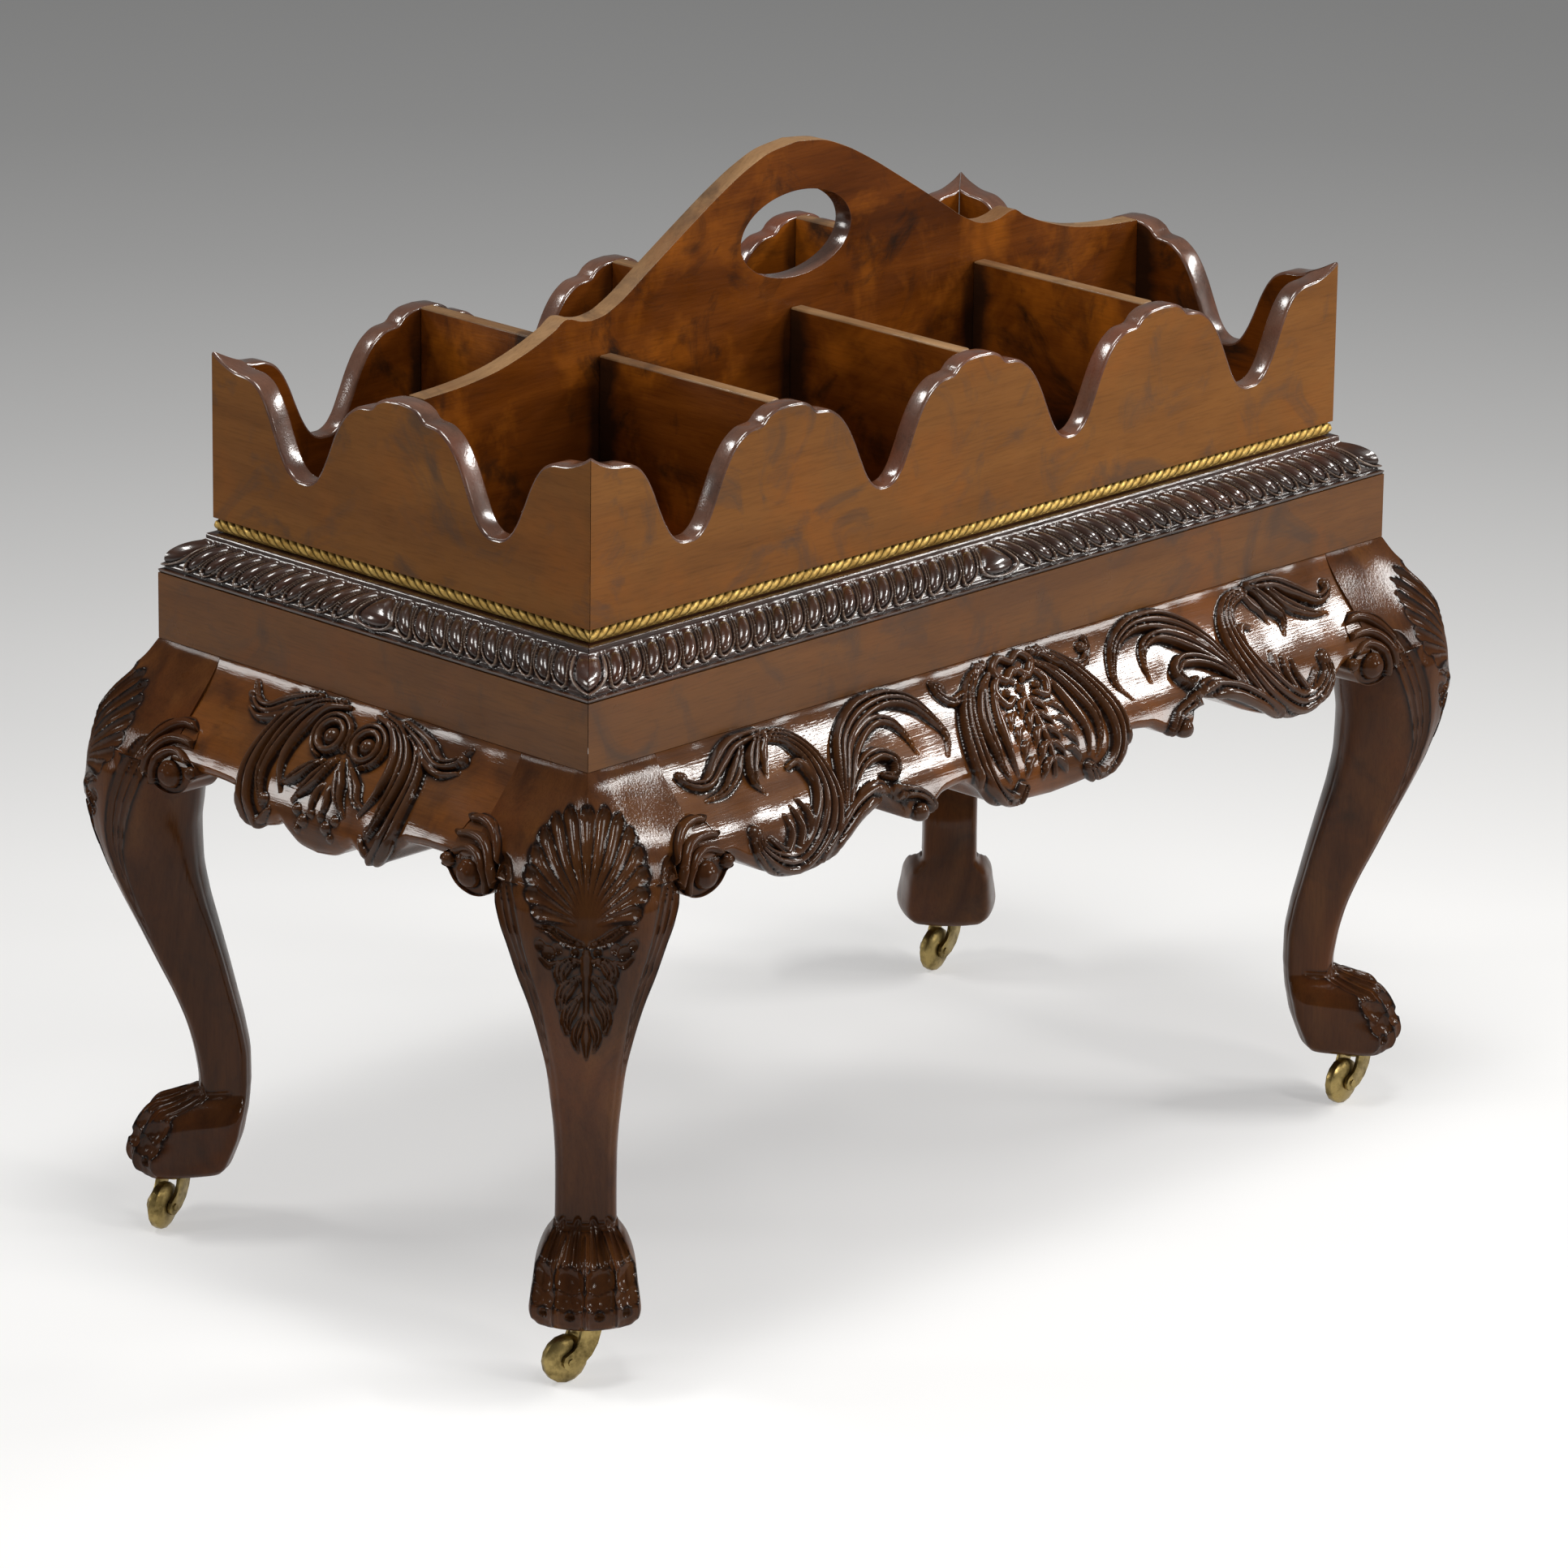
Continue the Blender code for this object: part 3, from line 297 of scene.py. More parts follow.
def carving(at, strokes):
    # The highest of the strokes in metres, less the cuts that come after them
    top = np.zeros(len(at))
    for part in strokes:
        if part[0] == "cut":
            top = top - ridge(at, *part[1:])
        else:
            top = np.maximum(top, (ball if np.isscalar(part[0]) else ridge)(at, *part))
    return top / 1000


def bothHands(strokes):
    # The same strokes to the right and to the left of the middle
    made = []
    for hand in (-1, 1):
        for part in strokes:
            start = hand * part[0] if np.isscalar(part[0]) else [(hand * x, z) for x, z in part[0]]
            made.append((start, *part[1:]))
    return made


# Finishes

def setSockets(tree, node, inputs):
    # Links or sets a node's inputs, which are named, or numbered as i0, i1 and so on
    for key, value in inputs.items():
        socket = node.inputs[int(key[1:])] if key[0] == "i" and key[1:].isdigit() else node.inputs[key]
        if isinstance(value, bpy.types.NodeSocket):
            tree.links.new(value, socket)
        else:
            socket.default_value = value


def addNode(tree, kind, settings=None, **inputs):
    made = tree.nodes.new(kind)
    for key, value in (settings or {}).items():
        setattr(made, key, value)
    setSockets(tree, made, inputs)
    return made


def ramp(tree, factor, stops):
    made = addNode(tree, "ShaderNodeValToRGB", None, Fac=factor)
    elements = made.color_ramp.elements
    while len(elements) < len(stops):
        elements.new(0.5)
    for element, (place, colour) in zip(elements, stops):
        element.position = place
        element.color = (*colour, 1) if len(colour) == 3 else colour
    return made.outputs["Color"]


def grey(value):
    return (value, value, value)


def rising(tree, factor, start, end, amount):
    # Nothing up to the start, and the whole amount from the end on
    return ramp(tree, factor, [(start, grey(0.0)), (end, grey(amount))])


def calc(tree, operation, *values, clamp=False):
    inputs = {f"i{i}": value for i, value in enumerate(values)}
    return addNode(tree, "ShaderNodeMath", {"operation": operation, "use_clamp": clamp}, **inputs).outputs[0]


def noise(tree, place, scale, detail, roughness, distortion=0.0):
    return addNode(tree, "ShaderNodeTexNoise", None, Vector=place, Scale=scale, Detail=detail,
                   Roughness=roughness, Distortion=distortion).outputs["Fac"]


def stretched(tree, place, along, across, lengthwise):
    # Coordinates for a pattern drawn out along one axis
    scale = [across] * 3
    scale["XYZ".index(along)] = lengthwise
    return addNode(tree, "ShaderNodeMapping", None, Vector=place, Scale=scale).outputs[0]


def attribute(tree, name):
    return addNode(tree, "ShaderNodeAttribute", {"attribute_name": name}).outputs["Fac"]


def bump(tree, height, strength, distance, **normal):
    return addNode(tree, "ShaderNodeBump", None, Strength=strength, Distance=distance, Height=height,
                   **normal).outputs[0]


def mixColour(tree, amount, colour, other):
    return addNode(tree, "ShaderNodeMix", {"data_type": "RGBA"}, i0=amount, i6=colour, i7=(*other, 1)).outputs[2]


def startMaterial(name):
    material = bpy.data.materials.new(name)
    material.use_nodes = True
    tree = material.node_tree
    return material, tree, tree.nodes["Principled BSDF"], addNode(tree, "ShaderNodeTexCoord").outputs["Object"]


lookParts = ("dark", "middle", "light", "patch", "patchAmount", "stainAndShade", "stainAmount", "rough", "coat", "coatRough",
             "gloss", "wave", "wear", "shade")
mahoganyLooks = {
    "board": ((0.143, 0.054, 0.012), (0.188, 0.073, 0.016), (0.232, 0.094, 0.021), (0.235, 0.078, 0.012), 0.65,
              (0.066, 0.042, 0.029), 0.70, 0.38, 0.05, 0.20, 0.10, 0.0006),
    "frieze": ((0.102, 0.038, 0.0095), (0.135, 0.052, 0.0125), (0.172, 0.068, 0.016), (0.170, 0.055, 0.0095), 0.60,
               (0.050, 0.032, 0.022), 0.60, 0.34, 0.15, 0.15, 0.20, 0.0008),
    "inside": ((0.062, 0.015, 0.0015), (0.118, 0.030, 0.0027), (0.185, 0.051, 0.0055), (0.320, 0.092, 0.007), 0.75,
               (0.014, 0.008, 0.005), 0.90, 0.38, 0.06, 0.20, 0.06, 0.0006),
    "edge": ((0.060, 0.026, 0.016), (0.110, 0.050, 0.031), (0.165, 0.080, 0.052), (0.140, 0.036, 0.014), 0.60,
             (0.024, 0.014, 0.010), 0.60, 0.22, 1.00, 0.07, 0.40, 0.0006),
    "worn": ((0.110, 0.056, 0.024), (0.210, 0.115, 0.050), (0.340, 0.200, 0.095), (0.150, 0.060, 0.020), 0.60,
             (0.045, 0.026, 0.016), 0.70, 0.45, 0.20, 0.20, 0.20, 0.0006),
    "carved": ((0.050, 0.016, 0.0042), (0.088, 0.030, 0.007), (0.140, 0.050, 0.010), (0.160, 0.048, 0.007), 0.65,
               (0.022, 0.010, 0.006), 0.55, 0.30, 0.55, 0.06, 0.05, 0.0018, 0.10, 0.72),
    "gadroon": ((0.014, 0.006, 0.0035), (0.034, 0.013, 0.0065), (0.066, 0.024, 0.009), (0.060, 0.016, 0.007), 0.60,
                (0.010, 0.006, 0.005), 0.40, 0.30, 1.00, 0.07, 0.20, 0.0004, 0.80, 0.0),
    "leg": ((0.034, 0.011, 0.0038), (0.070, 0.024, 0.0068), (0.112, 0.042, 0.0105), (0.100, 0.028, 0.006), 0.50,
            (0.018, 0.010, 0.006), 0.50, 0.34, 0.30, 0.07, 0.02, 0.0010, 0.10, 0.45),
}
# The near-black tone below fills the carved hollows: partly grime, partly painted shade in the recesses
grain = {"scale": (30.0, 4.5), "poreScale": (900.0, 60.0), "poreTone": 0.72, "poreAmount": 0.55, "patchScale": 13.0,
         "cloudScale": 19.0, "jointTone": 0.85, "jointFade": (0.012, -0.03), "mottleScale": 38.0, "waveScale": 24.0,
         "raisedTone": (0.034, 0.0125, 0.005), "hollowGrimeAndShadeTone": (0.009, 0.005, 0.004), "wornTone": (0.200, 0.135, 0.095)}


def jointPolishAndPaintedShade(tree, place, along, joint, cloud):
    # Dark beside the joints, which lie at even steps along the board up to a height and fade out towards the top:
    # partly old polish gathered there, partly painted shade in the compartments' corners
    step, reach, top = joint
    axes = addNode(tree, "ShaderNodeSeparateXYZ", None, Vector=place).outputs
    away = calc(tree, "PINGPONG", axes["XYZ".index(along)], step)
    ragged = calc(tree, "MULTIPLY_ADD", cloud, -reach * 2, away)
    dark = ramp(tree, calc(tree, "DIVIDE", ragged, reach), [(0.0, grey(grain["jointTone"])), (0.6, grey(0.0))])
    fade = [top + share for share in grain["jointFade"]]
    below = addNode(tree, "ShaderNodeMapRange", None, Value=axes["Z"], i1=fade[0], i2=fade[1]).outputs[0]
    return calc(tree, "MULTIPLY", dark, below)


def carvedColour(tree, colour, values):
    # Raised carving darkened by polish, the hollows darkened near black by grime and painted shade, and wear on the
    # ridges
    shade = rising(tree, attribute(tree, "raised"), 0.06, 0.30, values["shade"])
    colour = mixColour(tree, shade, colour, grain["raisedTone"])
    hollow = attribute(tree, "hollow")
    # Painted shade with grime: the hollows go near black
    colour = mixColour(tree, rising(tree, hollow, 0.04, 0.50, 0.95), colour, grain["hollowGrimeAndShadeTone"])
    crest = calc(tree, "MULTIPLY", hollow, -1.0)
    return mixColour(tree, rising(tree, crest, 0.22, 0.75, values["wear"]), colour, grain["wornTone"])


def mahogany(name, along, look, carved=False, joint=None):
    # Soft long grain and pores along one axis, warm patches and dark clouds
    values = dict(zip(lookParts, mahoganyLooks[look]))
    material, tree, shader, place = startMaterial(name)
    streaks = noise(tree, stretched(tree, place, along, *grain["scale"]), 1.0, 7.0, 0.62, 0.9)
    colour = ramp(tree, streaks, [(0.28, values["dark"]), (0.50, values["middle"]), (0.74, values["light"])])
    patch = noise(tree, place, grain["patchScale"], 5.0, 0.6, 0.4)
    colour = mixColour(tree, rising(tree, patch, 0.50, 0.66, values["patchAmount"]), colour, values["patch"])
    pores = noise(tree, stretched(tree, place, along, *grain["poreScale"]), 1.0, 3.0, 0.6)
    poreShade = ramp(tree, pores, [(0.34, grey(grain["poreTone"])), (0.52, grey(1.0))])
    colour = addNode(tree, "ShaderNodeMix", {"data_type": "RGBA", "blend_type": "MULTIPLY"}, i0=grain["poreAmount"],
                     i6=colour, i7=poreShade).outputs[2]
    cloud = noise(tree, place, grain["cloudScale"], 6.0, 0.62, 1.2)
    stainAndJointShade = rising(tree, cloud, 0.52, 0.68, values["stainAmount"])
    # Painted shade with old polish: the dark beside the compartments' joints uses the stain colour
    if joint:
        stainAndJointShade = calc(tree, "MAXIMUM", stainAndJointShade, jointPolishAndPaintedShade(tree, place, along, joint, cloud))
    colour = mixColour(tree, stainAndJointShade, colour, values["stainAndShade"])
    if carved:
        colour = carvedColour(tree, colour, values)
    mottle = noise(tree, place, grain["mottleScale"], 5.0, 0.6)
    roughness = ramp(tree, mottle, [(0.3, grey(values["rough"] * 0.75)), (0.7, grey(values["rough"] * 1.45))])
    uneven = bump(tree, noise(tree, place, grain["waveScale"], 1.0, 0.5), 1.0, values["wave"])
    surface = bump(tree, pores, 0.25, 0.0003, Normal=uneven)
    setSockets(tree, shader, {"Base Color": colour, "Roughness": roughness, "Normal": surface, "Coat Normal": surface,
                              "Coat Weight": values["coat"], "Coat Roughness": values["coatRough"],
                              "Specular IOR Level": values["gloss"]})
    return material


def bothWays(name, look, carved=False):
    return [mahogany(f"{name}_along_{axis.lower()}", axis, look, carved) for axis in "XY"]


brassLooks = {
    "rope": {"low": (0.36, 0.215, 0.055), "high": (0.66, 0.45, 0.140), "rough": 0.50, "scale": 160.0,
             "grime": (0.070, 0.042, 0.008), "grimeAmount": 0.95},
    "castor": {"low": (0.080, 0.055, 0.017), "high": (0.37, 0.275, 0.105), "rough": 0.33, "scale": 90.0},
}


def brass(name, look, carved=False):
    values = brassLooks[look]
    material, tree, shader, place = startMaterial(name)
    patina = noise(tree, place, values["scale"], 5.0, 0.65)
    colour = ramp(tree, patina, [(0.30, values["low"]), (0.56, values["high"])])
    if carved:
        grime = rising(tree, attribute(tree, "hollow"), 0.02, 0.28, values["grimeAmount"])
        colour = mixColour(tree, grime, colour, values["grime"])
    roughness = ramp(tree, patina, [(0.35, grey(values["rough"] * 1.5)), (0.65, grey(values["rough"] * 0.8))])
    setSockets(tree, shader, {"Base Color": colour, "Roughness": roughness, "Normal": bump(tree, patina, 0.15, 0.0002),
                              "Metallic": 1.0})
    return material


boardX, boardY = bothWays("board", "board")
friezeX, friezeY = bothWays("frieze", "frieze")
# Step between the joints on either side, reach of the dark and height of its top; the dark is partly old polish,
# partly painted shade in the corners
insideX = mahogany("inner_board_along_x", "X", "inside", joint=(0.075, 0.009, 0.505))
insideY = mahogany("inner_board_along_y", "Y", "inside", joint=(0.147, 0.015, 0.530))
wornX, wornY = bothWays("worn_edge", "worn")
edgeX, edgeY = bothWays("cut_edge", "edge")
carvedX, carvedY = bothWays("carved", "carved", True)
carvedZ = mahogany("carved_leg", "Z", "leg", True)
gadroonX, gadroonY = bothWays("gadroon", "gadroon", True)
ropeBrass = brass("rope_brass", "rope", True)
castorBrass = brass("aged_brass", "castor")
print("finishes made")


# Carrier boards

carrier = {
    "sideBoard": 0.012,
    "endBoard": 0.014,
    "handleBoard": 0.012,
    "scallopDepth": 0.0605,
    "arris": 0.0016,
    "handleRise": 0.0945,
    "holeLength": 0.088,
    "holeHeight": 0.049,
    "holeDrop": 0.0285,
    "step": 0.0015,
    "dividerArris": 0.0012,
    "dividerWear": 0.004,
}
# Distance from a peak as a share of half a bay, and the fall as a share of the scallop
peakShares = ((0, 0), (0.12, 0.012), (0.22, 0.06), (0.28, 0.125), (0.40, 0.145), (0.52, 0.225),
              (0.60, 0.33), (0.68, 0.49), (0.76, 0.70), (0.83, 0.87), (0.89, 0.955), (0.94, 0.99),
              (0.97, 0.999), (1, 1))
cornerShares = ((0, 0.01), (0.11, 0.09), (0.26, 0.15), (0.38, 0.165), (0.48, 0.215), (0.56, 0.315),
                (0.63, 0.46), (0.70, 0.65), (0.77, 0.82), (0.84, 0.935), (0.90, 0.983), (0.95, 0.998), (1, 1))
# Distance from the middle and height above the ends, as shares of the handle board's arch
archShares = ((0, 1), (0.07, 0.974), (0.135, 0.905), (0.21, 0.79), (0.28, 0.665), (0.41, 0.424),
              (0.49, 0.277), (0.53, 0.23), (0.56, 0.22), (0.59, 0.232), (0.612, 0.255), (0.626, 0.262),
              (0.66, 0.209), (0.735, 0.12), (0.82, 0.052), (0.91, 0.016), (1, 0))


def rimLine(length, bays):
    # The scalloped edge from left to right, as distance and height above the foot
    half = length / (2 * bays)
    steps = round(half / carrier["step"])
    line = []
    for bay in range(bays):
        for falling in (True, False):
            atCorner = (bay == 0 and falling) or (bay == bays - 1 and not falling)
            shares = np.linspace(0, 1, steps, endpoint=False)
            if not falling:
                shares = 1 - shares
            drop = readTable(cornerShares if atCorner else peakShares, shares)
            start = -length / 2 + 2 * half * bay
            x = start + half * shares if falling else start + half * (2 - shares)
            line += list(zip(x, whole["wallHeight"] - carrier["scallopDepth"] * drop))
    line.append((length / 2, whole["wallHeight"] - carrier["scallopDepth"] * cornerShares[0][1]))
    return line


def sawnBoard(line, thickness, outerY, hole=None):
    # A board with a sawn upper edge whose arrises are rounded; its outer face lies at outerY
    bm = bmesh.new()
    outline = [(line[0][0], 0)] + line + [(line[-1][0], 0)]
    ring = [bm.verts.new((x, outerY, z + whole["wallBottom"])) for x, z in outline]
    rings = [ring]
    if hole:
        rings.append([bm.verts.new((x, outerY, z + whole["wallBottom"])) for x, z in hole])
        edges = [bm.edges.new((r[i], r[(i + 1) % len(r)])) for r in rings for i in range(len(r))]
        bmesh.ops.triangle_fill(bm, use_beauty=True, use_dissolve=False, edges=edges)
    else:
        bm.faces.new(ring)
    front = bm.faces[:]
    spread = bmesh.ops.extrude_face_region(bm, geom=front, use_keep_orig=True)
    moved = [part for part in spread["geom"] if isinstance(part, bmesh.types.BMVert)]
    bmesh.ops.translate(bm, verts=moved, vec=(0, thickness, 0))
    bmesh.ops.recalc_face_normals(bm, faces=bm.faces)
    low = whole["wallBottom"] + 0.001
    arrises = []
    for edge in bm.edges:
        ends = [v.co for v in edge.verts]
        lies = abs(ends[0].y - ends[1].y) < 1e-6 and min(ends[0].z, ends[1].z) > low
        if lies and len(edge.link_faces) == 2 and edge.calc_face_angle() > math.radians(60):
            arrises.append(edge)
    roundArrises(bm, arrises, carrier["arris"], 3)
    return bm


def markFaces(mesh):
    # Material 0 outside, 1 inside the carrier, 2 on the sawn edge
    for face in mesh.polygons:
        flat = abs(face.normal.y) > 0.99
        face.material_index = 2 if not flat else int(face.normal.y > 0)
        if flat:
            face.use_smooth = False


def scallopedWall(length, depth, bays, thickness, otherThickness):
    bm = sawnBoard(rimLine(length, bays), thickness, -depth / 2)
    mitreEnds(bm, length, depth, (thickness, otherThickness))
    mesh = smoothMesh(bm, "wall", 40)
    markFaces(mesh)
    return mesh


longWall = scallopedWall(*whole["carrier"], 4, carrier["sideBoard"], carrier["endBoard"])
endWall = scallopedWall(*whole["carrier"][::-1], 2, carrier["endBoard"], carrier["sideBoard"])
for node, source, turn in (("front_wall", longWall, 0), ("back_wall", longWall, math.pi),
                           ("left_end", endWall, -quarterTurn), ("right_end", endWall, quarterTurn)):
    alongX = source is longWall
    finishes = (boardX, insideX, edgeX) if alongX else (boardY, insideY, edgeY)
    ontoBody(node + "_board", turned(source, turn), "carrier", [node], finishes)


def handleBoard():
    half = whole["carrier"][0] / 2 - carrier["endBoard"] - whole["gap"]
    shares = np.linspace(0, 1, round(half / carrier["step"]))
    height = whole["wallHeight"] - whole["gap"] + carrier["handleRise"] * readTable(archShares, shares)
    line = [(-half * s, z) for s, z in zip(shares[::-1], height[::-1])]
    line += [(half * s, z) for s, z in zip(shares[1:], height[1:])]
    holeLength, holeHeight = carrier["holeLength"], carrier["holeHeight"]
    middle = whole["wallHeight"] + carrier["handleRise"] - carrier["holeDrop"] - holeHeight / 2
    turns = np.linspace(0, 2 * math.pi, 96, endpoint=False)
    hole = [(holeLength / 2 * math.cos(a), middle + holeHeight / 2 * math.sin(a)) for a in turns]
    mesh = smoothMesh(sawnBoard(line, carrier["handleBoard"], -carrier["handleBoard"] / 2, hole), "handle", 40)
    markFaces(mesh)
    # The top edge is worn, the hole's rim is not
    for face in mesh.polygons:
        up = face.center.z - whole["wallBottom"] - middle
        if face.material_index == 2 and math.hypot(face.center.x / holeLength, up / holeHeight) > 0.6:
            face.material_index = 3
    return mesh


ontoBody("handle_board_sawn", handleBoard(), "carrier", ["handle_board"],
         (insideX, insideX, edgeX, wornX))
for row in ("front", "back"):
    for number in (1, 2, 3):
        node = f"divider_{row}_{number}"
        board = softened(node, carrier["dividerArris"])
        highest = max(corner.co.z for corner in board.vertices)
        for face in board.polygons:
            face.material_index = int(face.normal.z > 0.3 and face.center.z > highest - carrier["dividerWear"])
        ontoBody(node + "_board", board, "carrier", [node], (insideY, wornY))
print("carrier boards made")


# Rope bead round the carrier's foot

rope = {"height": 0.008, "pitch": 0.0062, "groove": 0.0012, "columnsPerPitch": 12, "rows": 26, "flatness": 0.92,
        "back": 0.15, "backReach": 0.0038, "carved": (0.20, 0.46), "lay": 1.05, "roundness": 0.6, "edgeDrop": 0.0004}


def ropeBead(length, depth, hand):
    columns = round(length / rope["pitch"]) * rope["columnsPerPitch"]
    radius = rope["height"] / 2

    def place(u, v):
        # Up the back, then round the front from the top to the bottom
        back = rope["back"]
        angle = quarterTurn + math.pi * unit((v - back) / (1 - 2 * back))
        reach = np.where((v < back) | (v > 1 - back), rope["backReach"], 0)
        y = -depth / 2 + radius + radius * np.cos(angle) * rope["flatness"] + reach
        return np.stack([(u - 0.5) * length, y, whole["carrierBottom"] + radius + radius * np.sin(angle)], axis=1)

    def carve(u, v, base):
        share = unit((v - rope["carved"][0]) / rope["carved"][1])
        phase = (u - 0.5) * length / rope["pitch"] + hand * (share - 0.5) * rope["lay"]
        strand = np.abs(np.sin(np.pi * phase)) ** rope["roundness"]
        edge = np.minimum(1, np.minimum(share, 1 - share) * 8)
        depths = -rope["groove"] * (1 - strand) * edge - rope["edgeDrop"] * (1 - edge)
        return np.where((share > 0) & (share < 1), depths, 0)

    return carvedRail("rope", columns, rope["rows"], place, carve, length, depth)


ropes = (ropeBead(*whole["carrier"], 1), ropeBead(*whole["carrier"][::-1], -1))
onFourSides("bead_{}_rope", "bead_{}", "carrier", ropes, (ropeBrass, ropeBrass))
print("rope bead made")


# Gadrooned edge

gadroon = {"height": 0.0227, "width": 0.024, "round": 0.020, "fillet": 0.004, "lip": 0.0018, "pitch": 0.0135,
           "cornerLobe": 0.0095, "depth": 0.0030, "slant": 0.016, "column": 0.00068, "rows": 76, "spare": 0.02,
           "tail": (0.52, 0.42), "lobe": (0.95, 0.72), "rim": (0.80, 0.87, 0.10), "dart": (0.22, 0.80, 0.10),
           "edge": (0.8, 0.035, 0.02), "faceStart": 0.15, "faceEnd": 0.905}


def gadroonRail(length, depth):
    run = length / 2 - gadroon["round"] - gadroon["cornerLobe"]
    lobes = round(run / gadroon["pitch"] - 0.5)
    pitch = run / (lobes + 0.5)
    outer = -depth / 2
    shoulder = outer + gadroon["round"]
    height, lip = gadroon["height"], gadroon["lip"]
    drop = height - gadroon["fillet"] - lip
    # Down the section: back, flat top, the step under the fillet, the round with the lobes, the lip
    line = [(outer + gadroon["width"], 0), (outer + gadroon["width"], height), (shoulder - 0.0004, height),
            (shoulder - 0.0012, height - 0.0006), (shoulder - 0.0012, height - gadroon["fillet"] + 0.0004)]
    line += [(shoulder - gadroon["round"] * math.sin(a), lip + drop * math.cos(a))
             for a in np.linspace(0, quarterTurn, 25)[2:]]
    line += [(outer, lip - 0.0004), (outer + 0.0006, 0), (outer + gadroon["width"], 0)]
    line = np.array(line)
    shares = [0, 0.06, 0.10, 0.12, gadroon["faceStart"], *np.linspace(0.17, 0.90, 23), 0.93, 0.95, 1.0]

    def place(u, v):
        z = np.interp(v, shares, line[:, 1]) + whole["gadroonBottom"]
        return np.stack([(u - 0.5) * (length + gadroon["spare"]), np.interp(v, shares, line[:, 0]), z], axis=1)

    def carve(u, v, base):
        # Lobes that lean outwards from a wide one in the middle to one across each corner
        share = unit((v - gadroon["faceStart"]) / 0.75)
        side = np.abs(base[:, 0])
        lean = gadroon["slant"] * share
        mitre = length / 2 - (base[:, 1] - outer)
        phase = (side - lean) / pitch
        last = lean + (lobes + 0.5) * pitch
        across = 2 * np.abs(phase - np.rint(phase))
        across = np.where(phase < 0.5, side / (lean + 0.5 * pitch), across)
        across = np.where(side > last, (mitre - side) / (mitre - last), across)
        reach = np.hypot(across, np.clip((share - gadroon["tail"][0]) / gadroon["tail"][1], 0, 2))
        high, size = gadroon["lobe"]
        lobe = high * dome(reach / size)
        high, middle, size = gadroon["rim"]
        rim = high * dome((reach - middle) / size)
        high, start, size = gadroon["dart"]
        dart = high * unit((share - start) / size) * (reach > 1)
        high, end, size = gadroon["edge"]
        edge = high * unit((end - share) / size)
        top = np.maximum(np.maximum(lobe, rim), np.maximum(dart, edge))
        fade = unit((v - gadroon["faceStart"]) / 0.03) * unit((gadroon["faceEnd"] - v) / 0.02)
        return -gadroon["depth"] * (1 - top) * fade

    return carvedRail("gadroon", round(length / gadroon["column"]), gadroon["rows"], place, carve, length, depth)


gadroons = (gadroonRail(*whole["stand"]), gadroonRail(*whole["stand"][::-1]))
onFourSides("gadroon_{}_carved", "gadroon_{}", "stand", gadroons, (gadroonX, gadroonY))
print("gadroons made")


# Aprons

apron = {"proud": 0.0405, "belly": 0.066, "back": 0.012, "edge": 0.0547, "longDrop": 0.0747, "endDrop": 0.0767,
         "roll": 0.006, "power": 1.3, "wing": 0.050, "longLimit": 0.0466, "endLimit": 0.0438, "cove": 0.0015,
         "rows": 124, "longColumns": 720, "endColumns": 320, "bands": (0.04, 0.84, 0.92, 0.96),
         "carvedEnd": 0.915, "fade": (0.02, 0.05)}
coveShares = ((0, 0), (0.021, 1), (0.045, 0), (1, 0))
longEdgeShares = ((0, 1), (0.075, 0.95), (0.14, 0.85), (0.185, 0.65), (0.213, 0.2), (0.243, 0), (0.31, 0.08),
                  (0.355, 0.35), (0.395, 0.53), (0.426, 0.4), (0.441, 0), (0.463, -0.4), (0.49, -0.35),
                  (0.532, -0.1), (0.605, 0.4), (0.688, 0.76), (0.752, 0.89), (0.816, 0.73), (0.875, 0.33),
                  (0.925, 0), (1, 0))
endEdgeShares = ((0, 1), (0.10, 0.93), (0.185, 0.68), (0.236, 0.52), (0.286, 0.64), (0.388, 0.75),
                 (0.463, 0.59), (0.522, 0.23), (0.573, 0.05), (0.75, 0), (1, 0))
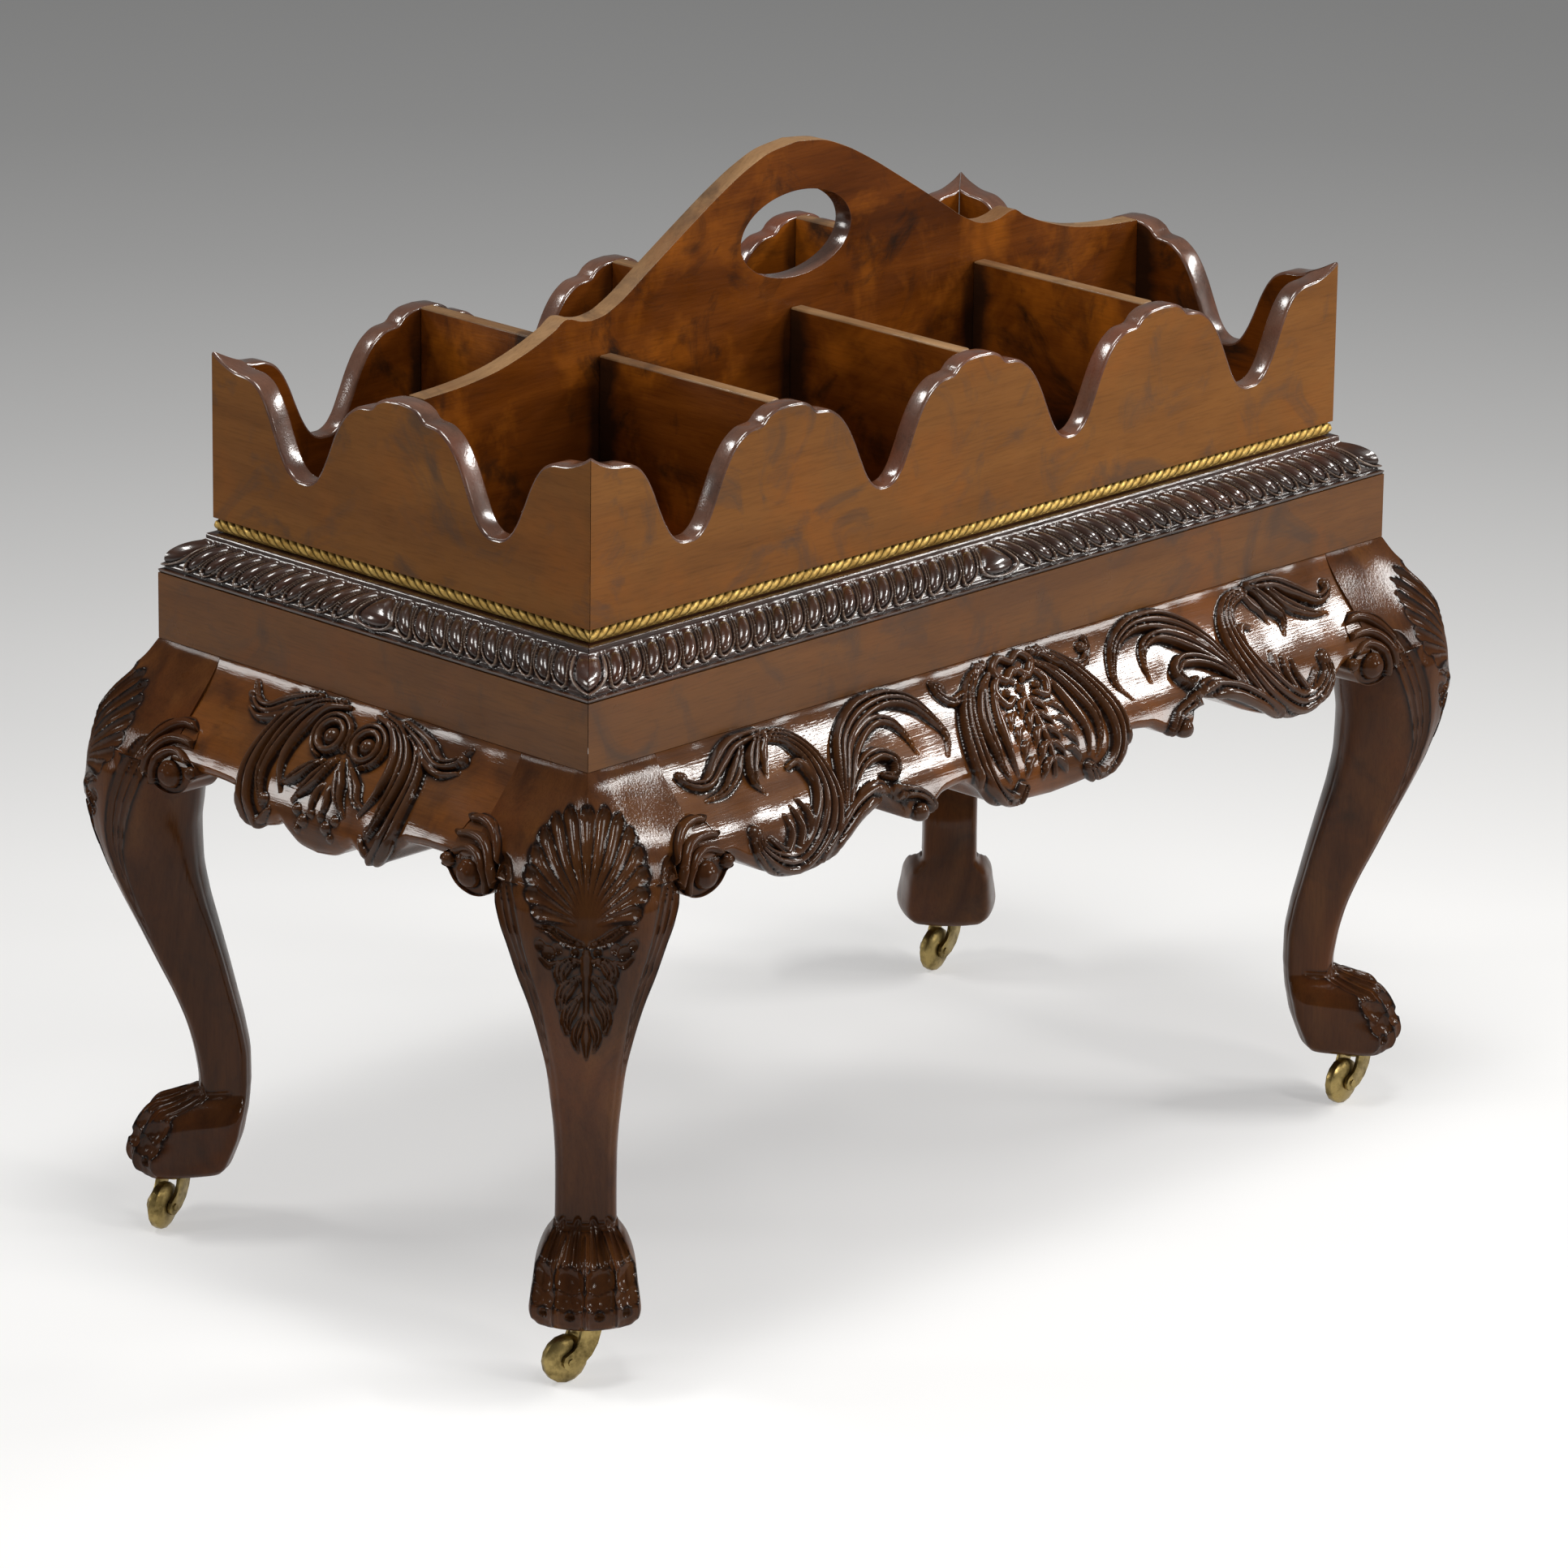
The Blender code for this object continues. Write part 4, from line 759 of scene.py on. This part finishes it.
# Millimetres from the middle and down the surface: points, half widths, height and ribs of a ridge,
# or the place, radius and height of a ball
longCarving = [
    ([(197, 7), (181, 11), (171, 24), (170, 42), (176, 58), (188, 71), (204, 79), (220, 76), (231, 67), (231, 59)],
     (3, 8, 11, 11, 9, 4), 6.2, 4),
    ([(222, 63), (213, 72), (202, 73), (191, 64), (187, 52)], (1.5, 3.5, 3.5, 1), 3.4, 2),
    ([(213, 74), (206, 63), (206, 53)], (3, 2.6, 0.8), 4.0),
    ([(204, 74), (198, 62), (199, 50)], (3, 2.8, 0.8), 4.2),
    ([(195, 70), (190, 57), (193, 46)], (3, 2.8, 0.8), 4.0),
    ([(187, 28), (180, 27), (176, 34), (176, 46)], (1.5, 3, 3.5, 2), 4.6),
    (231, 58, 4.6, 4.4),
    ([(200, 5), (219, 7), (233, 15), (247, 24), (258, 22), (263, 16)], (3, 5, 5.5, 4.5, 2), 5.8, 2),
    (261, 17, 3.6, 4.2),
    ([(213, 9), (224, 22), (238, 31), (252, 33)], (2, 4, 3.6, 0.8), 4.8, 2),
    ([(200, 6), (209, 18), (215, 29), (211, 38)], (2, 4.4, 4, 0.6), 5.6, 2),
    ([(193, 8), (200, 18), (204, 29)], (1.5, 3.2, 0.6), 3.6),
    ([(165, 62), (155, 42), (142, 22), (123, 10), (101, 7), (83, 14), (72, 28), (69, 38), (75, 48)],
     (2, 5, 7, 7.5, 6.5, 4.5, 0.8), 6.6, 3),
    ([(162, 60), (150, 42), (136, 27), (118, 18), (104, 20), (97, 30), (95, 42)], (2, 4.5, 5.5, 5, 0.8), 5.6, 2),
    ([(161, 60), (150, 47), (136, 38), (123, 36), (115, 42), (120, 50), (127, 48)], (1.5, 4, 4.5, 3.5, 2), 5.6, 2),
    ([(160, 62), (146, 54), (134, 51), (126, 55)], (1.5, 3, 2.4, 0.8), 4.4),
    ([(186, 79), (168, 68), (153, 60), (135, 56), (118, 60), (105, 64), (98, 72), (102, 79)],
     (4, 5.5, 5, 4.5, 3.8, 3, 2), 6.0, 2),
    (108, 73, 5.2, 5.2),
    ([(19, 5), (33, 11), (45, 25), (53, 42), (56, 58), (52, 72), (43, 80), (33, 83), (27, 77)],
     (2, 5.5, 7, 7, 6, 3.5), 6.2, 3),
    ([(18, 11), (27, 18), (36, 32), (41, 48), (40, 62), (35, 72)], (1.5, 4, 4.6, 3.5, 0.8), 4.8, 2),
    ([(19, 18), (25, 30), (29, 45), (31, 58), (29, 70)], (1.2, 3.2, 3.4, 2.6, 0.8), 4.0),
    ([(24, 5), (37, 16), (52, 20), (60, 14), (62, 7)], (2.5, 3.5, 3.2, 2), 3.6, 2),
    (57, 11, 3.4, 4.0),
    ([(0, 26), (0, 76)], (1.6, 2.4, 1.2), 2.6),
    ([(0, 8), (8, 4), (15, 10), (9, 17), (2, 13)], (2, 3, 2.4), 4.2),
    ([(4, 19), (13, 15), (20, 22), (16, 31), (9, 28)], (1.6, 2.8, 1.8), 3.8),
    (0, 13, 3.2, 4.4),
    (12, 24, 2.6, 4.0),
    (0, 24, 2.8, 3.8),
] + [([(1, 30 + 9 * k), (6, 33 + 9 * k), (10, 40 + 9 * k)], (1.2, 2.8, 0.6), 3.2) for k in range(5)] + [
    ([(13, 36 + 9 * k), (18, 38 + 9 * k), (22, 45 + 9 * k)], (0.8, 2.4, 0.6), 2.6) for k in range(4)]
endCarving = [
    (14, 23, 5.2, 5.6),
    ([(14 + 8.8 * math.cos(a), 23 + 8.8 * math.sin(a)) for a in np.linspace(0, 2 * math.pi, 13)], (2.1,), 5.4),
    ([(14 + 12.8 * math.cos(a), 23 + 12.8 * math.sin(a)) for a in np.linspace(-3.6, 1.4, 11)],
     (1.0, 1.8, 1.8, 1.0), 4.4),
    ([(12, 5), (25, 9), (34, 20), (38, 34), (37, 48), (31, 60)], (1.5, 3.2, 3.6, 3, 0.8), 5.2),
    ([(16, 3), (33, 9), (44, 23), (48, 40), (47, 57), (41, 70)], (1.5, 3.6, 4.6, 4, 1.5), 5.8, 2),
    ([(28, 5), (48, 14), (57, 31), (59, 52), (55, 70), (46, 83)], (2, 4.4, 5.4, 5, 4.4), 5.2, 2),
    ([(34, 4), (52, 11), (66, 19), (77, 17), (84, 7)], (2.5, 5, 5, 3.4, 1.5), 5.4, 2),
    ([(44, 13), (58, 21), (71, 25), (82, 21)], (1.5, 3, 3, 0.8), 4.4),
    (82, 14, 3.4, 5.2),
    ([(2, 34), (7, 44), (13, 55), (20, 63)], (1.2, 4, 3.6, 0.8), 4.8, 2),
    ([(11, 37), (20, 46), (27, 54), (34, 56)], (1.2, 3.6, 3.2, 0.8), 4.6, 2),
    ([(3, 50), (5, 60), (4, 68)], (1.0, 2.4, 0.6), 2.8),
    (9, 72, 3.4, 3.2),
    (15, 67, 2.8, 3.0),
    (4, 67, 2.4, 2.8),
    (13, 77, 2.2, 2.2),
    (41, 67, 3.0, 3.4),
    ([(36, 72), (42, 79), (50, 78)], (1.2, 2.6, 0.8), 3.0),
]


def bulge(drop):
    return apron["proud"] * np.sin(quarterTurn * np.minimum(drop / apron["belly"], 1)) ** apron["power"]


def apronPiece(length, depth, edgeShares, deepest, strokes, columns, limit):
    # Up the top's back, down the face, round the lower edge, under it and up the plain back
    half = length / 2 - apron["wing"] - whole["gap"]
    topEnd, faceEnd, rollEnd, underEnd = apron["bands"]
    roll, back = apron["roll"], apron["back"]
    drops = np.linspace(0, 0.1, 400)
    runs = np.concatenate([[0], np.cumsum(np.hypot(np.diff(drops), np.diff(bulge(drops))))])

    def place(u, v):
        x = (2 * u - 1) * half
        drop = apron["edge"] + (deepest - apron["edge"]) * readTable(edgeShares, abs(x) / half)
        flat = drop - roll
        share = unit((v - topEnd) / (faceEnd - topEnd))
        here = np.interp(share * np.interp(flat, drops, runs), runs, drops)
        turn = unit((v - faceEnd) / (rollEnd - faceEnd)) * quarterTurn
        under = unit((v - rollEnd) / (underEnd - rollEnd))
        rise = unit((v - underEnd) / (1 - underEnd))
        bands = [v < topEnd, v > rollEnd, v > faceEnd]
        y = np.select(bands, [back * (1 - v / topEnd), (roll - bulge(flat)) * (1 - under) + back * under,
                              -bulge(flat) + roll * (1 - np.cos(turn))], -bulge(here))
        bands[1] = v > underEnd
        z = np.select(bands, [0 * v, -drop * (1 - rise), -flat - roll * np.sin(turn)], -here)
        return np.stack([x, y - depth / 2, z + whole["legTop"]], axis=1)

    def carve(u, v, base):
        down = -(base[:, 2] - whole["legTop"])
        run = np.interp(np.clip(down, 0, 0.1), drops, runs)
        at = np.stack([np.abs(base[:, 0]) * 1000, run * 1000], axis=1)
        raised = carving(at, strokes) - apron["cove"] * readTable(coveShares, down)
        last, fade = apron["carvedEnd"], apron["fade"]
        return raised * unit((v - topEnd) / fade[0]) * unit((last - v) / fade[1])

    limits = (np.array([-1, -depth / 2 - limit, -1]), np.array([1, 1, whole["legTop"]]))
    return carvedGrid("apron", columns, apron["rows"], place, carve, flip=True, limit=limits)


aprons = (apronPiece(*whole["stand"], longEdgeShares, apron["longDrop"], longCarving, apron["longColumns"],
                     apron["longLimit"]),
          apronPiece(*whole["stand"][::-1], endEdgeShares, apron["endDrop"], endCarving, apron["endColumns"],
                     apron["endLimit"]))
onFourSides("apron_{}_carved", "apron_{}", "stand", aprons, (carvedX, carvedY))
print("aprons carved")


# Legs

leg = {"kneeFace": 0.018, "kneeProud": 0.0427, "kneeHalf": 0.052, "set": 0.0495, "block": 0.034,
       "faceEdge": 0.78, "sideFall": 0.33, "rearSet": 0.3, "heelSet": 0.07, "heelWidth": 0.62,
       "crown": 0.8, "wingStep": 0.0002, "settle": 0.012, "rounding": (3, 4.6),
       "spans": 16, "columnsPerSpan": 14, "rows": 330, "kneeRows": 62, "topFade": 0.004, "soleFade": (0.035, 0.003)}
# Drop as a share of the height; then front, back, half width, hollow of the face, rear width
legShares = ((0.1777, 0.958, 0.556, 0.904, 0.42, 0.70), (0.214, 0.995, 0.545, 0.940, 0.40, 0.70),
             (0.253, 1.000, 0.525, 0.895, 0.36, 0.71), (0.291, 0.977, 0.505, 0.815, 0.32, 0.74),
             (0.340, 0.906, 0.473, 0.720, 0.28, 0.78), (0.408, 0.735, 0.485, 0.580, 0.24, 0.82),
             (0.470, 0.534, 0.545, 0.485, 0.20, 0.86), (0.535, 0.304, 0.646, 0.408, 0.18, 0.90),
             (0.602, 0.070, 0.754, 0.365, 0.16, 0.93), (0.664, -0.148, 0.848, 0.333, 0.15, 0.95),
             (0.729, -0.328, 0.943, 0.317, 0.15, 0.95), (0.786, -0.426, 0.996, 0.315, 0.15, 0.95),
             (0.834, -0.468, 1.000, 0.317, 0.15, 0.95), (0.850, -0.445, 0.992, 0.321, 0.13, 0.95),
             (0.861, -0.304, 0.988, 0.350, 0.15, 0.95), (0.8725, -0.094, 0.980, 0.410, 0.20, 0.95),
             (0.885, 0.141, 0.972, 0.467, 0.25, 0.93), (0.903, 0.269, 0.950, 0.519, 0.28, 0.90),
             (0.929, 0.375, 0.919, 0.542, 0.30, 0.88), (0.957, 0.445, 0.859, 0.569, 0.28, 0.86),
             (0.974, 0.468, 0.818, 0.581, 0.28, 0.84), (0.989, 0.433, 0.778, 0.567, 0.28, 0.82),
             (1.000, 0.351, 0.717, 0.510, 0.25, 0.80))
# Drop as a share of the apron's edge, and how far the knee stands out there
kneeShares = ((0, 0), (0.165, 0.165), (0.33, 0.40), (0.51, 0.66), (0.73, 0.86), (0.88, 0.925), (1, 0.958),
              (1.25, 0.985))
shell = {"ribs": 7, "fan": 18.4, "half": 35, "rise": 28.5, "middle": 296, "root": 270}


def shellRib(k):
    turn = math.radians(shell["fan"] * k)
    x, z = shell["half"] * math.sin(turn), shell["middle"] + shell["rise"] * math.cos(turn)
    root = shell["root"]
    near, far = ((share * x, root + 1 + rise * (z - root)) for share, rise in ((0.24, 0.36), (0.64, 0.70)))
    return ([(0.45 * k, root), near, far, (x, z)], (0.7, 1.8, 3.5, 4.8), 4.6)


kneeCarving = [shellRib(k) for k in range(-shell["ribs"], shell["ribs"] + 1)] + [
    (0, 294, 33, 2.6),
    (0, 257.5, 2.4, 3.0), (-6, 258, 2.4, 2.8), (6, 258, 2.4, 2.8),
    ([(0, 254), (0, 236), (0, 214)], (3.4, 3.0, 1.0), 3.4),
    ([(0, 212), (0, 203), (0, 191)], (1.4, 2.8, 0.8), 3.0),
] + bothHands([
    ([(2, 262), (10, 264), (20, 269), (28, 270)], (1.4, 3.4, 3.4, 0.8), 3.2, 2),
    (21, 256.5, 4.4, 3.0),
    (26, 260, 3.2, 2.4),
    (16, 259.5, 3.2, 2.2),
    ([(15, 252), (21, 249.5), (26, 253)], (1.0, 2.0, 1.0), 1.8),
    ([(3, 253), (10, 251), (14, 245), (13, 238)], (1.6, 4.2, 4.6, 2.2), 3.0, 3),
    ([(2, 244), (8, 239), (13, 231), (13.5, 223)], (1.6, 4.0, 4.6, 2.0), 3.0, 3),
    ([(2, 233), (6, 227), (10.5, 217), (10.5, 208)], (1.5, 3.8, 4.4, 1.8), 3.0, 3),
    ([(1, 219), (4, 212), (6, 203), (4, 196)], (1.2, 2.8, 3.0, 1.0), 2.8, 2),
    ([(58, 292), (55, 282), (51, 270), (43, 251), (32.5, 228), (27.5, 212), (23.5, 192), (21, 176)],
     (8.0, 9.0, 8.6, 6.4, 4.4, 3.4, 2.4, 1.0), 3.0, 3),
])
pawCarving = [([(-30, 81.6), (0, 81), (30, 81.6)], (1.6,), 1.4)]
for toe in (-26, -8.7, 8.7, 26):
    pawCarving += [
        ([(toe * 0.48, 84), (toe * 0.78, 74), (toe, 64)], (2.2, 4.0, 6.0), 2.4, 2, 0.45),
        (toe, 61, 8.2, 5.6), (toe - 2.5, 52.5, 6.6, 4.4), (toe + 2.5, 52.5, 6.6, 4.4),
        ([(toe, 44.5), (toe, 38)], (7.0, 6.6), 2.2), (toe, 43, 3.4, 5.6),
    ]
for gap in (-17.5, 0, 17.5):
    points = [(gap * 0.6, 77), (gap * 0.9, 68), (gap, 58), (gap, 36)]
    pawCarving.append(("cut", points, (0.6, 1.0, 1.2, 1.0), 1.4))


def kneePoint(drop, rise, span):
    # A point across the knee's face, in distances out from the stand's corner and across
    out = bulge(drop)
    front = leg["kneeProud"] * rise
    faceOut, faceAcross = -(leg["kneeFace"] - out) / math.sqrt(2), (leg["kneeFace"] + out) / math.sqrt(2)
    crown = 1 + leg["crown"] * np.minimum(1, drop / apron["proud"])
    share = span / 4
    return front + (faceOut - front) * share ** crown, faceAcross * share


def kneeSection(drop, rise, span):
    # The head that carries the aprons' bulge round the corner: face, wing, and block behind
    root = math.sqrt(2)
    out = bulge(drop)
    here = np.array(kneePoint(drop, rise, np.minimum(span, 4)))
    wing, block, back = apron["wing"], leg["block"], apron["back"]
    turn = np.array(kneePoint(drop, rise, 4 + 0 * span))
    ends = [turn, np.array([-(wing - out), wing + out]) / root,
            np.array([-(wing + back) + 0 * out, wing - back + 0 * out]) / root,
            np.array([-(block + back) + 0 * out, block - back + 0 * out]) / root,
            np.array([-block + 0 * out, 0 * out])]
    for i in range(4):
        inside = (span > i + 4) & (span <= i + 5)
        here = np.where(inside, ends[i] + (ends[i + 1] - ends[i]) * (span - i - 4), here)
    # The corner where the face meets the wing is rounded
    low, high = leg["rounding"]
    t = (span - low) / (high - low)
    start = np.array(kneePoint(drop, rise, low + 0 * span))
    end = turn + (ends[1] - turn) * (high - 4)
    rounded = (1 - t) ** 2 * start + 2 * t * (1 - t) * turn + t * t * end
    return np.where((span > low) & (span < high), rounded, here)


def shaftSection(shares, span):
    # The leg under the knee, rounded through the points of its section
    front = leg["kneeProud"] * shares[:, 0]
    back = -leg["set"] * shares[:, 1]
    half = leg["kneeHalf"] * shares[:, 2]
    hollow, rear = shares[:, 3], shares[:, 4]
    edge = half * leg["faceEdge"]
    places = [(front - hollow * half * s * s, edge * s) for s in (0, 0.25, 0.5, 0.75, 1)]
    places += [(front - half * (hollow + leg["sideFall"]), half), (back + half * leg["rearSet"], half * rear),
               (back + half * leg["heelSet"], half * rear * leg["heelWidth"]), (back, 0 * half)]
    mirror = np.array([1, -1])[:, None]
    places = [np.array(spot) for spot in places]
    places = [places[1] * mirror] + places + [places[-2] * mirror]
    i = np.clip(np.floor(span).astype(int), 0, 7)
    made = np.zeros((2, len(span)))
    for k in range(8):
        made = np.where(i == k, between(*places[k:k + 4], span - i), made)
    return made


def legSection(drop, rise, shares, span):
    # Half a section from the front middle round to the back middle; span runs from 0 to 8
    knee = kneeSection(drop, rise, span)
    settle = unit((drop - apron["edge"]) / leg["settle"])
    settle = np.maximum(settle, unit((span - 3.0) / 1.2))
    return np.where(drop < apron["edge"], knee, knee + (shaftSection(shares, span) - knee) * settle)


def carvedLeg():
    columns, rows = leg["spans"] * leg["columnsPerSpan"], leg["rows"]
    # The top face's middle is closed by holes_fill, so the rows start at the top edge
    lower = np.linspace(apron["edge"] + leg["wingStep"], whole["legHeight"], rows + 1 - leg["kneeRows"])
    drops = np.concatenate([np.linspace(0, apron["edge"] - 1e-6, leg["kneeRows"]), lower])
    keys, *values = zip(*legShares)

    def place(u, v):
        drop = drops[np.rint(v * rows).astype(int)]
        around = (u - 0.5) * leg["spans"]
        rise = readTable(kneeShares, np.clip(drop / apron["edge"], 0, kneeShares[-1][0]))
        shares = smoothRead(keys, np.transpose(values), np.clip(drop / whole["legHeight"], keys[0], 1))
        out, across = legSection(drop, rise, shares, np.abs(around))
        return np.stack([out, across * np.sign(around), whole["legTop"] - drop], axis=1)

    def carve(u, v, base):
        # The strokes' distance across is measured round the section from the front middle
        row, column = np.rint(v * rows).astype(int), np.rint(u * columns).astype(int)
        field = np.zeros((rows + 1, columns + 1, 2))
        field[row, column] = base[:, :2]
        steps = np.linalg.norm(np.diff(field, axis=1), axis=2)
        run = np.concatenate([np.zeros((rows + 1, 1)), np.cumsum(steps, axis=1)], axis=1)
        run -= run[:, [columns // 2]]
        at = np.stack([run[row, column], base[:, 2]], axis=1) * 1000
        low, reach = leg["soleFade"]
        fade = unit((whole["legTop"] - base[:, 2]) / leg["topFade"])
        fade *= unit((base[:, 2] - low) / reach)
        return (carving(at, kneeCarving) + carving(at, pawCarving)) * fade

    return carvedGrid("leg", columns, rows, place, carve)


legMesh = carvedLeg()
corners = {1: (-1, -1), 2: (1, -1), 3: (1, 1), 4: (-1, 1)}
for number, (sx, sy) in corners.items():
    corner = (sx * whole["stand"][0] / 2, sy * whole["stand"][1] / 2, 0)
    ontoBody(f"leg_{number}_carved", turned(legMesh, math.atan2(sy, sx), corner), "stand", [f"leg_{number}"],
             (carvedZ,))
print("legs carved")


# Scroll ears under the aprons, beside each knee

ear = {"fromCorner": 0.0505, "height": 0.2848, "face": 0.038, "back": 0.016, "limit": 0.0438, "sink": 0.0016,
       "columns": 132, "rows": 60, "faceShare": 0.8, "middle": (-2, 8)}
# Millimetres from the ball's middle, away from the leg and up
earOutline = ((-20, -4), (-13, -9), (-5, -11.5), (3, -11), (11, -7.5), (16, -1.5), (21, 2.5), (19.5, 8), (14.5, 10.5),
              (13.5, 18), (11, 25.5), (4, 29.5), (-5, 28.5), (-13, 23.5), (-20, 15.5), (-22, 6))
earCarving = [
    (0, 0, 8.0, 7.8),
    (16.5, 4, 4.2, 4.8),
    ([(12.5, 9.5), (5, 12.6), (-2, 12.2), (-9, 8), (-13.2, 0.5), (-13.5, -7)], (1.6, 2.5, 2.7, 2.7, 2.3, 1.6), 5.4),
    ([(12.5, 18), (5, 18.9), (-4, 18), (-11, 14), (-16.6, 7), (-19.5, -1)], (1.8, 2.9, 3.1, 3.1, 2.8, 2.4), 5.8),
    ([(9, 26), (1, 26.6), (-7, 24.4), (-14, 19.5), (-20, 12)], (1.8, 2.9, 3.1, 3.0, 2.4), 5.2),
]


def scrollEar():
    # The outline as reaches round its middle; the grid goes out to it over the face, then back down the side
    away = np.array(earOutline, float) - ear["middle"]
    turns, reaches = np.array(sorted(zip(np.arctan2(away[:, 1], away[:, 0]), np.hypot(*away.T)))).T
    turns = np.concatenate([turns[-1:] - 2 * math.pi, turns, turns[:1] + 2 * math.pi])
    reaches = np.concatenate([reaches[-1:], reaches, reaches[:1]])
    faceShare = ear["faceShare"]

    def place(u, v):
        turn = (2 * u - 1) * math.pi
        reach = np.interp(turn, turns, reaches) * unit(v / faceShare)
        a, b = ear["middle"][0] + reach * np.cos(turn), ear["middle"][1] + reach * np.sin(turn)
        z = ear["height"] + b / 1000
        out = np.minimum(bulge(whole["legTop"] - z), ear["face"])
        side = unit((v - faceShare) / 0.2)
        return np.stack([ear["fromCorner"] + a / 1000, -(out + (ear["back"] - out) * side), z], axis=1)

    def carve(u, v, base):
        at = np.stack([base[:, 0] - ear["fromCorner"], base[:, 2] - ear["height"]], axis=1) * 1000
        return np.where(v < faceShare, carving(at, earCarving) - ear["sink"] * (v < 0.78), 0)

    limits = (np.array([-1, -ear["limit"], -1]), np.array([1, 1, 1]))
    return carvedGrid("ear", ear["columns"], ear["rows"], place, carve, flip=True, limit=limits)


earMesh = scrollEar()
for number, (sx, sy) in corners.items():
    for kind, along, outward in (("long", (-sx, 0), (0, sy)), ("end", (0, -sy), (sx, 0))):
        mesh = earMesh.copy()
        lie = Matrix(((along[0], -outward[0], 0, sx * whole["stand"][0] / 2),
                      (along[1], -outward[1], 0, sy * whole["stand"][1] / 2), (0, 0, 1, 0), (0, 0, 0, 1)))
        mesh.transform(lie)
        if lie.determinant() < 0:
            mesh.flip_normals()
        ontoBody(f"ear_{number}_{kind}_scroll", mesh, "stand", [f"ear_{number}_{kind}"],
                 (carvedZ,))
print("ears carved")


# Castors, frieze and the hidden boards

# Node, how it was made, arris and body
castorPieces = (("castor_plate_{}", "turned", 0.0003, "stand"), ("castor_horn_{}", "cast", 0.0004, "horn_{}"),
                ("castor_wheel_{}", "turned", 0.0004, "wheel_{}"))
for number in corners:
    for pattern, kind, arris, body in castorPieces:
        node = pattern.format(number)
        ontoBody(f"{node}_{kind}", softened(node, arris), body.format(number), [node], (castorBrass,))
plainFinishes = {"frieze_left": friezeY, "frieze_right": friezeY, "platform": edgeX, "carrier_floor": insideX}
for name, node in nodes.items():
    node.data.materials.clear()
    node.data.materials.append(carvedZ if name.startswith("ear") else plainFinishes.get(name, friezeX))
print("castors and plain boards finished")


# Floor, light and camera

studio = {"floorSize": 40.0, "brightMiddle": (-0.25, -0.24, 0.0), "reach": 4.0, "ownLight": 0.45, "world": 0.12,
          "worldColour": (1.0, 0.99, 0.97, 1), "aim": (0, 0, 0.32)}
# Distance from the bright middle as a share of the reach, and the floor's tone there: a painted pool of light, bright
# round the stand and darker further out
paintedFloorFalloff = ((0.0, 0.95), (0.13, 0.93), (0.205, 0.85), (0.29, 0.73), (0.385, 0.61), (0.49, 0.505), (0.61, 0.415),
              (0.725, 0.355), (0.85, 0.33))
bm = bmesh.new()
bmesh.ops.create_grid(bm, x_segments=1, y_segments=1, size=studio["floorSize"])
floor = placed("floor", meshOf(bm, "floor"))
floorFinish, tree, shader, floorPlace = startMaterial("studio_floor")
fromMiddle = addNode(tree, "ShaderNodeVectorMath", {"operation": "DISTANCE"}, i0=floorPlace,
                     i1=studio["brightMiddle"]).outputs["Value"]
farShare = calc(tree, "DIVIDE", fromMiddle, studio["reach"])
# Painted light: the floor's colour falls off from the bright middle
paintedFloorLight = ramp(tree, farShare, [(share, grey(value)) for share, value in paintedFloorFalloff])
setSockets(tree, shader, {"Base Color": paintedFloorLight, "Roughness": 0.9, "Specular IOR Level": 0.0})
# Part of the floor's brightness is its own where it is seen, so that its shadows stay soft and pale
rays = addNode(tree, "ShaderNodeLightPath").outputs
seen = calc(tree, "ADD", rays["Is Camera Ray"], rays["Is Glossy Ray"])
seen = calc(tree, "ADD", seen, rays["Is Transmission Ray"], clamp=True)
glow = addNode(tree, "ShaderNodeEmission", None, Color=paintedFloorLight, Strength=1.0).outputs[0]
mixed = addNode(tree, "ShaderNodeMixShader", None, i0=calc(tree, "MULTIPLY", seen, studio["ownLight"]),
                i1=shader.outputs[0], i2=glow).outputs[0]
tree.links.new(mixed, tree.nodes["Material Output"].inputs["Surface"])
floor.data.materials.append(floorFinish)

world = bpy.data.worlds.new("studio")
bpy.context.scene.world = world
world.use_nodes = True
setSockets(world.node_tree, world.node_tree.nodes["Background"],
           {"Color": studio["worldColour"], "Strength": studio["world"]})

white, warm = (1.0, 0.985, 0.96), (1.0, 0.97, 0.93)
# Place, size, power and colour
lamps = {
    "right_strip": ((1.60, -1.05, 1.62), (0.9, 0.13), 26, white),
    "right_low": ((1.63, -1.68, 0.86), (0.35, 0.5), 10, white),
    "front": ((0.5, -2.9, 1.5), (0.5, 0.5), 22, warm),
    "left": ((-0.99, 1.18, 2.29), (0.7, 0.35), 17, white),
    "left_low": ((-1.77, 1.65, 0.93), (0.3, 0.5), 7, white),
    "near_left": ((-3.0, -0.4, 1.2), (0.4, 0.4), 2, warm),
    "overhead": ((-0.35, -0.35, 2.5), (0.9, 0.9), 36, (1.0, 0.99, 0.97)),
}
for name, (place, size, power, colour) in lamps.items():
    light = bpy.data.lights.new(name, "AREA")
    light.shape = "RECTANGLE"
    light.size, light.size_y = size
    light.energy = power
    light.color = colour
    holder = placed(name + "_lamp", light)
    holder.location = place
    holder.rotation_euler = (Vector(studio["aim"]) - Vector(place)).to_track_quat("-Z", "Y").to_euler()

view = {"turn": -0.8041, "rise": 0.3134, "roll": 0.0128, "place": (-3.35316, -3.23199, 1.73548), "lens": 197.56}
camera = bpy.data.cameras.new("camera")
camera.lens = view["lens"]
camera.sensor_width = 36.0
camera.clip_end = 100.0
cameraObject = placed("camera", camera)
cameraObject.matrix_world = (Matrix.Translation(view["place"]) @ Matrix.Rotation(view["turn"], 4, "Z")
                             @ Matrix.Rotation(quarterTurn - view["rise"], 4, "X")
                             @ Matrix.Rotation(view["roll"], 4, "Z"))
bpy.context.scene.camera = cameraObject
bpy.context.scene.view_settings.view_transform = "Standard"
print("studio set")
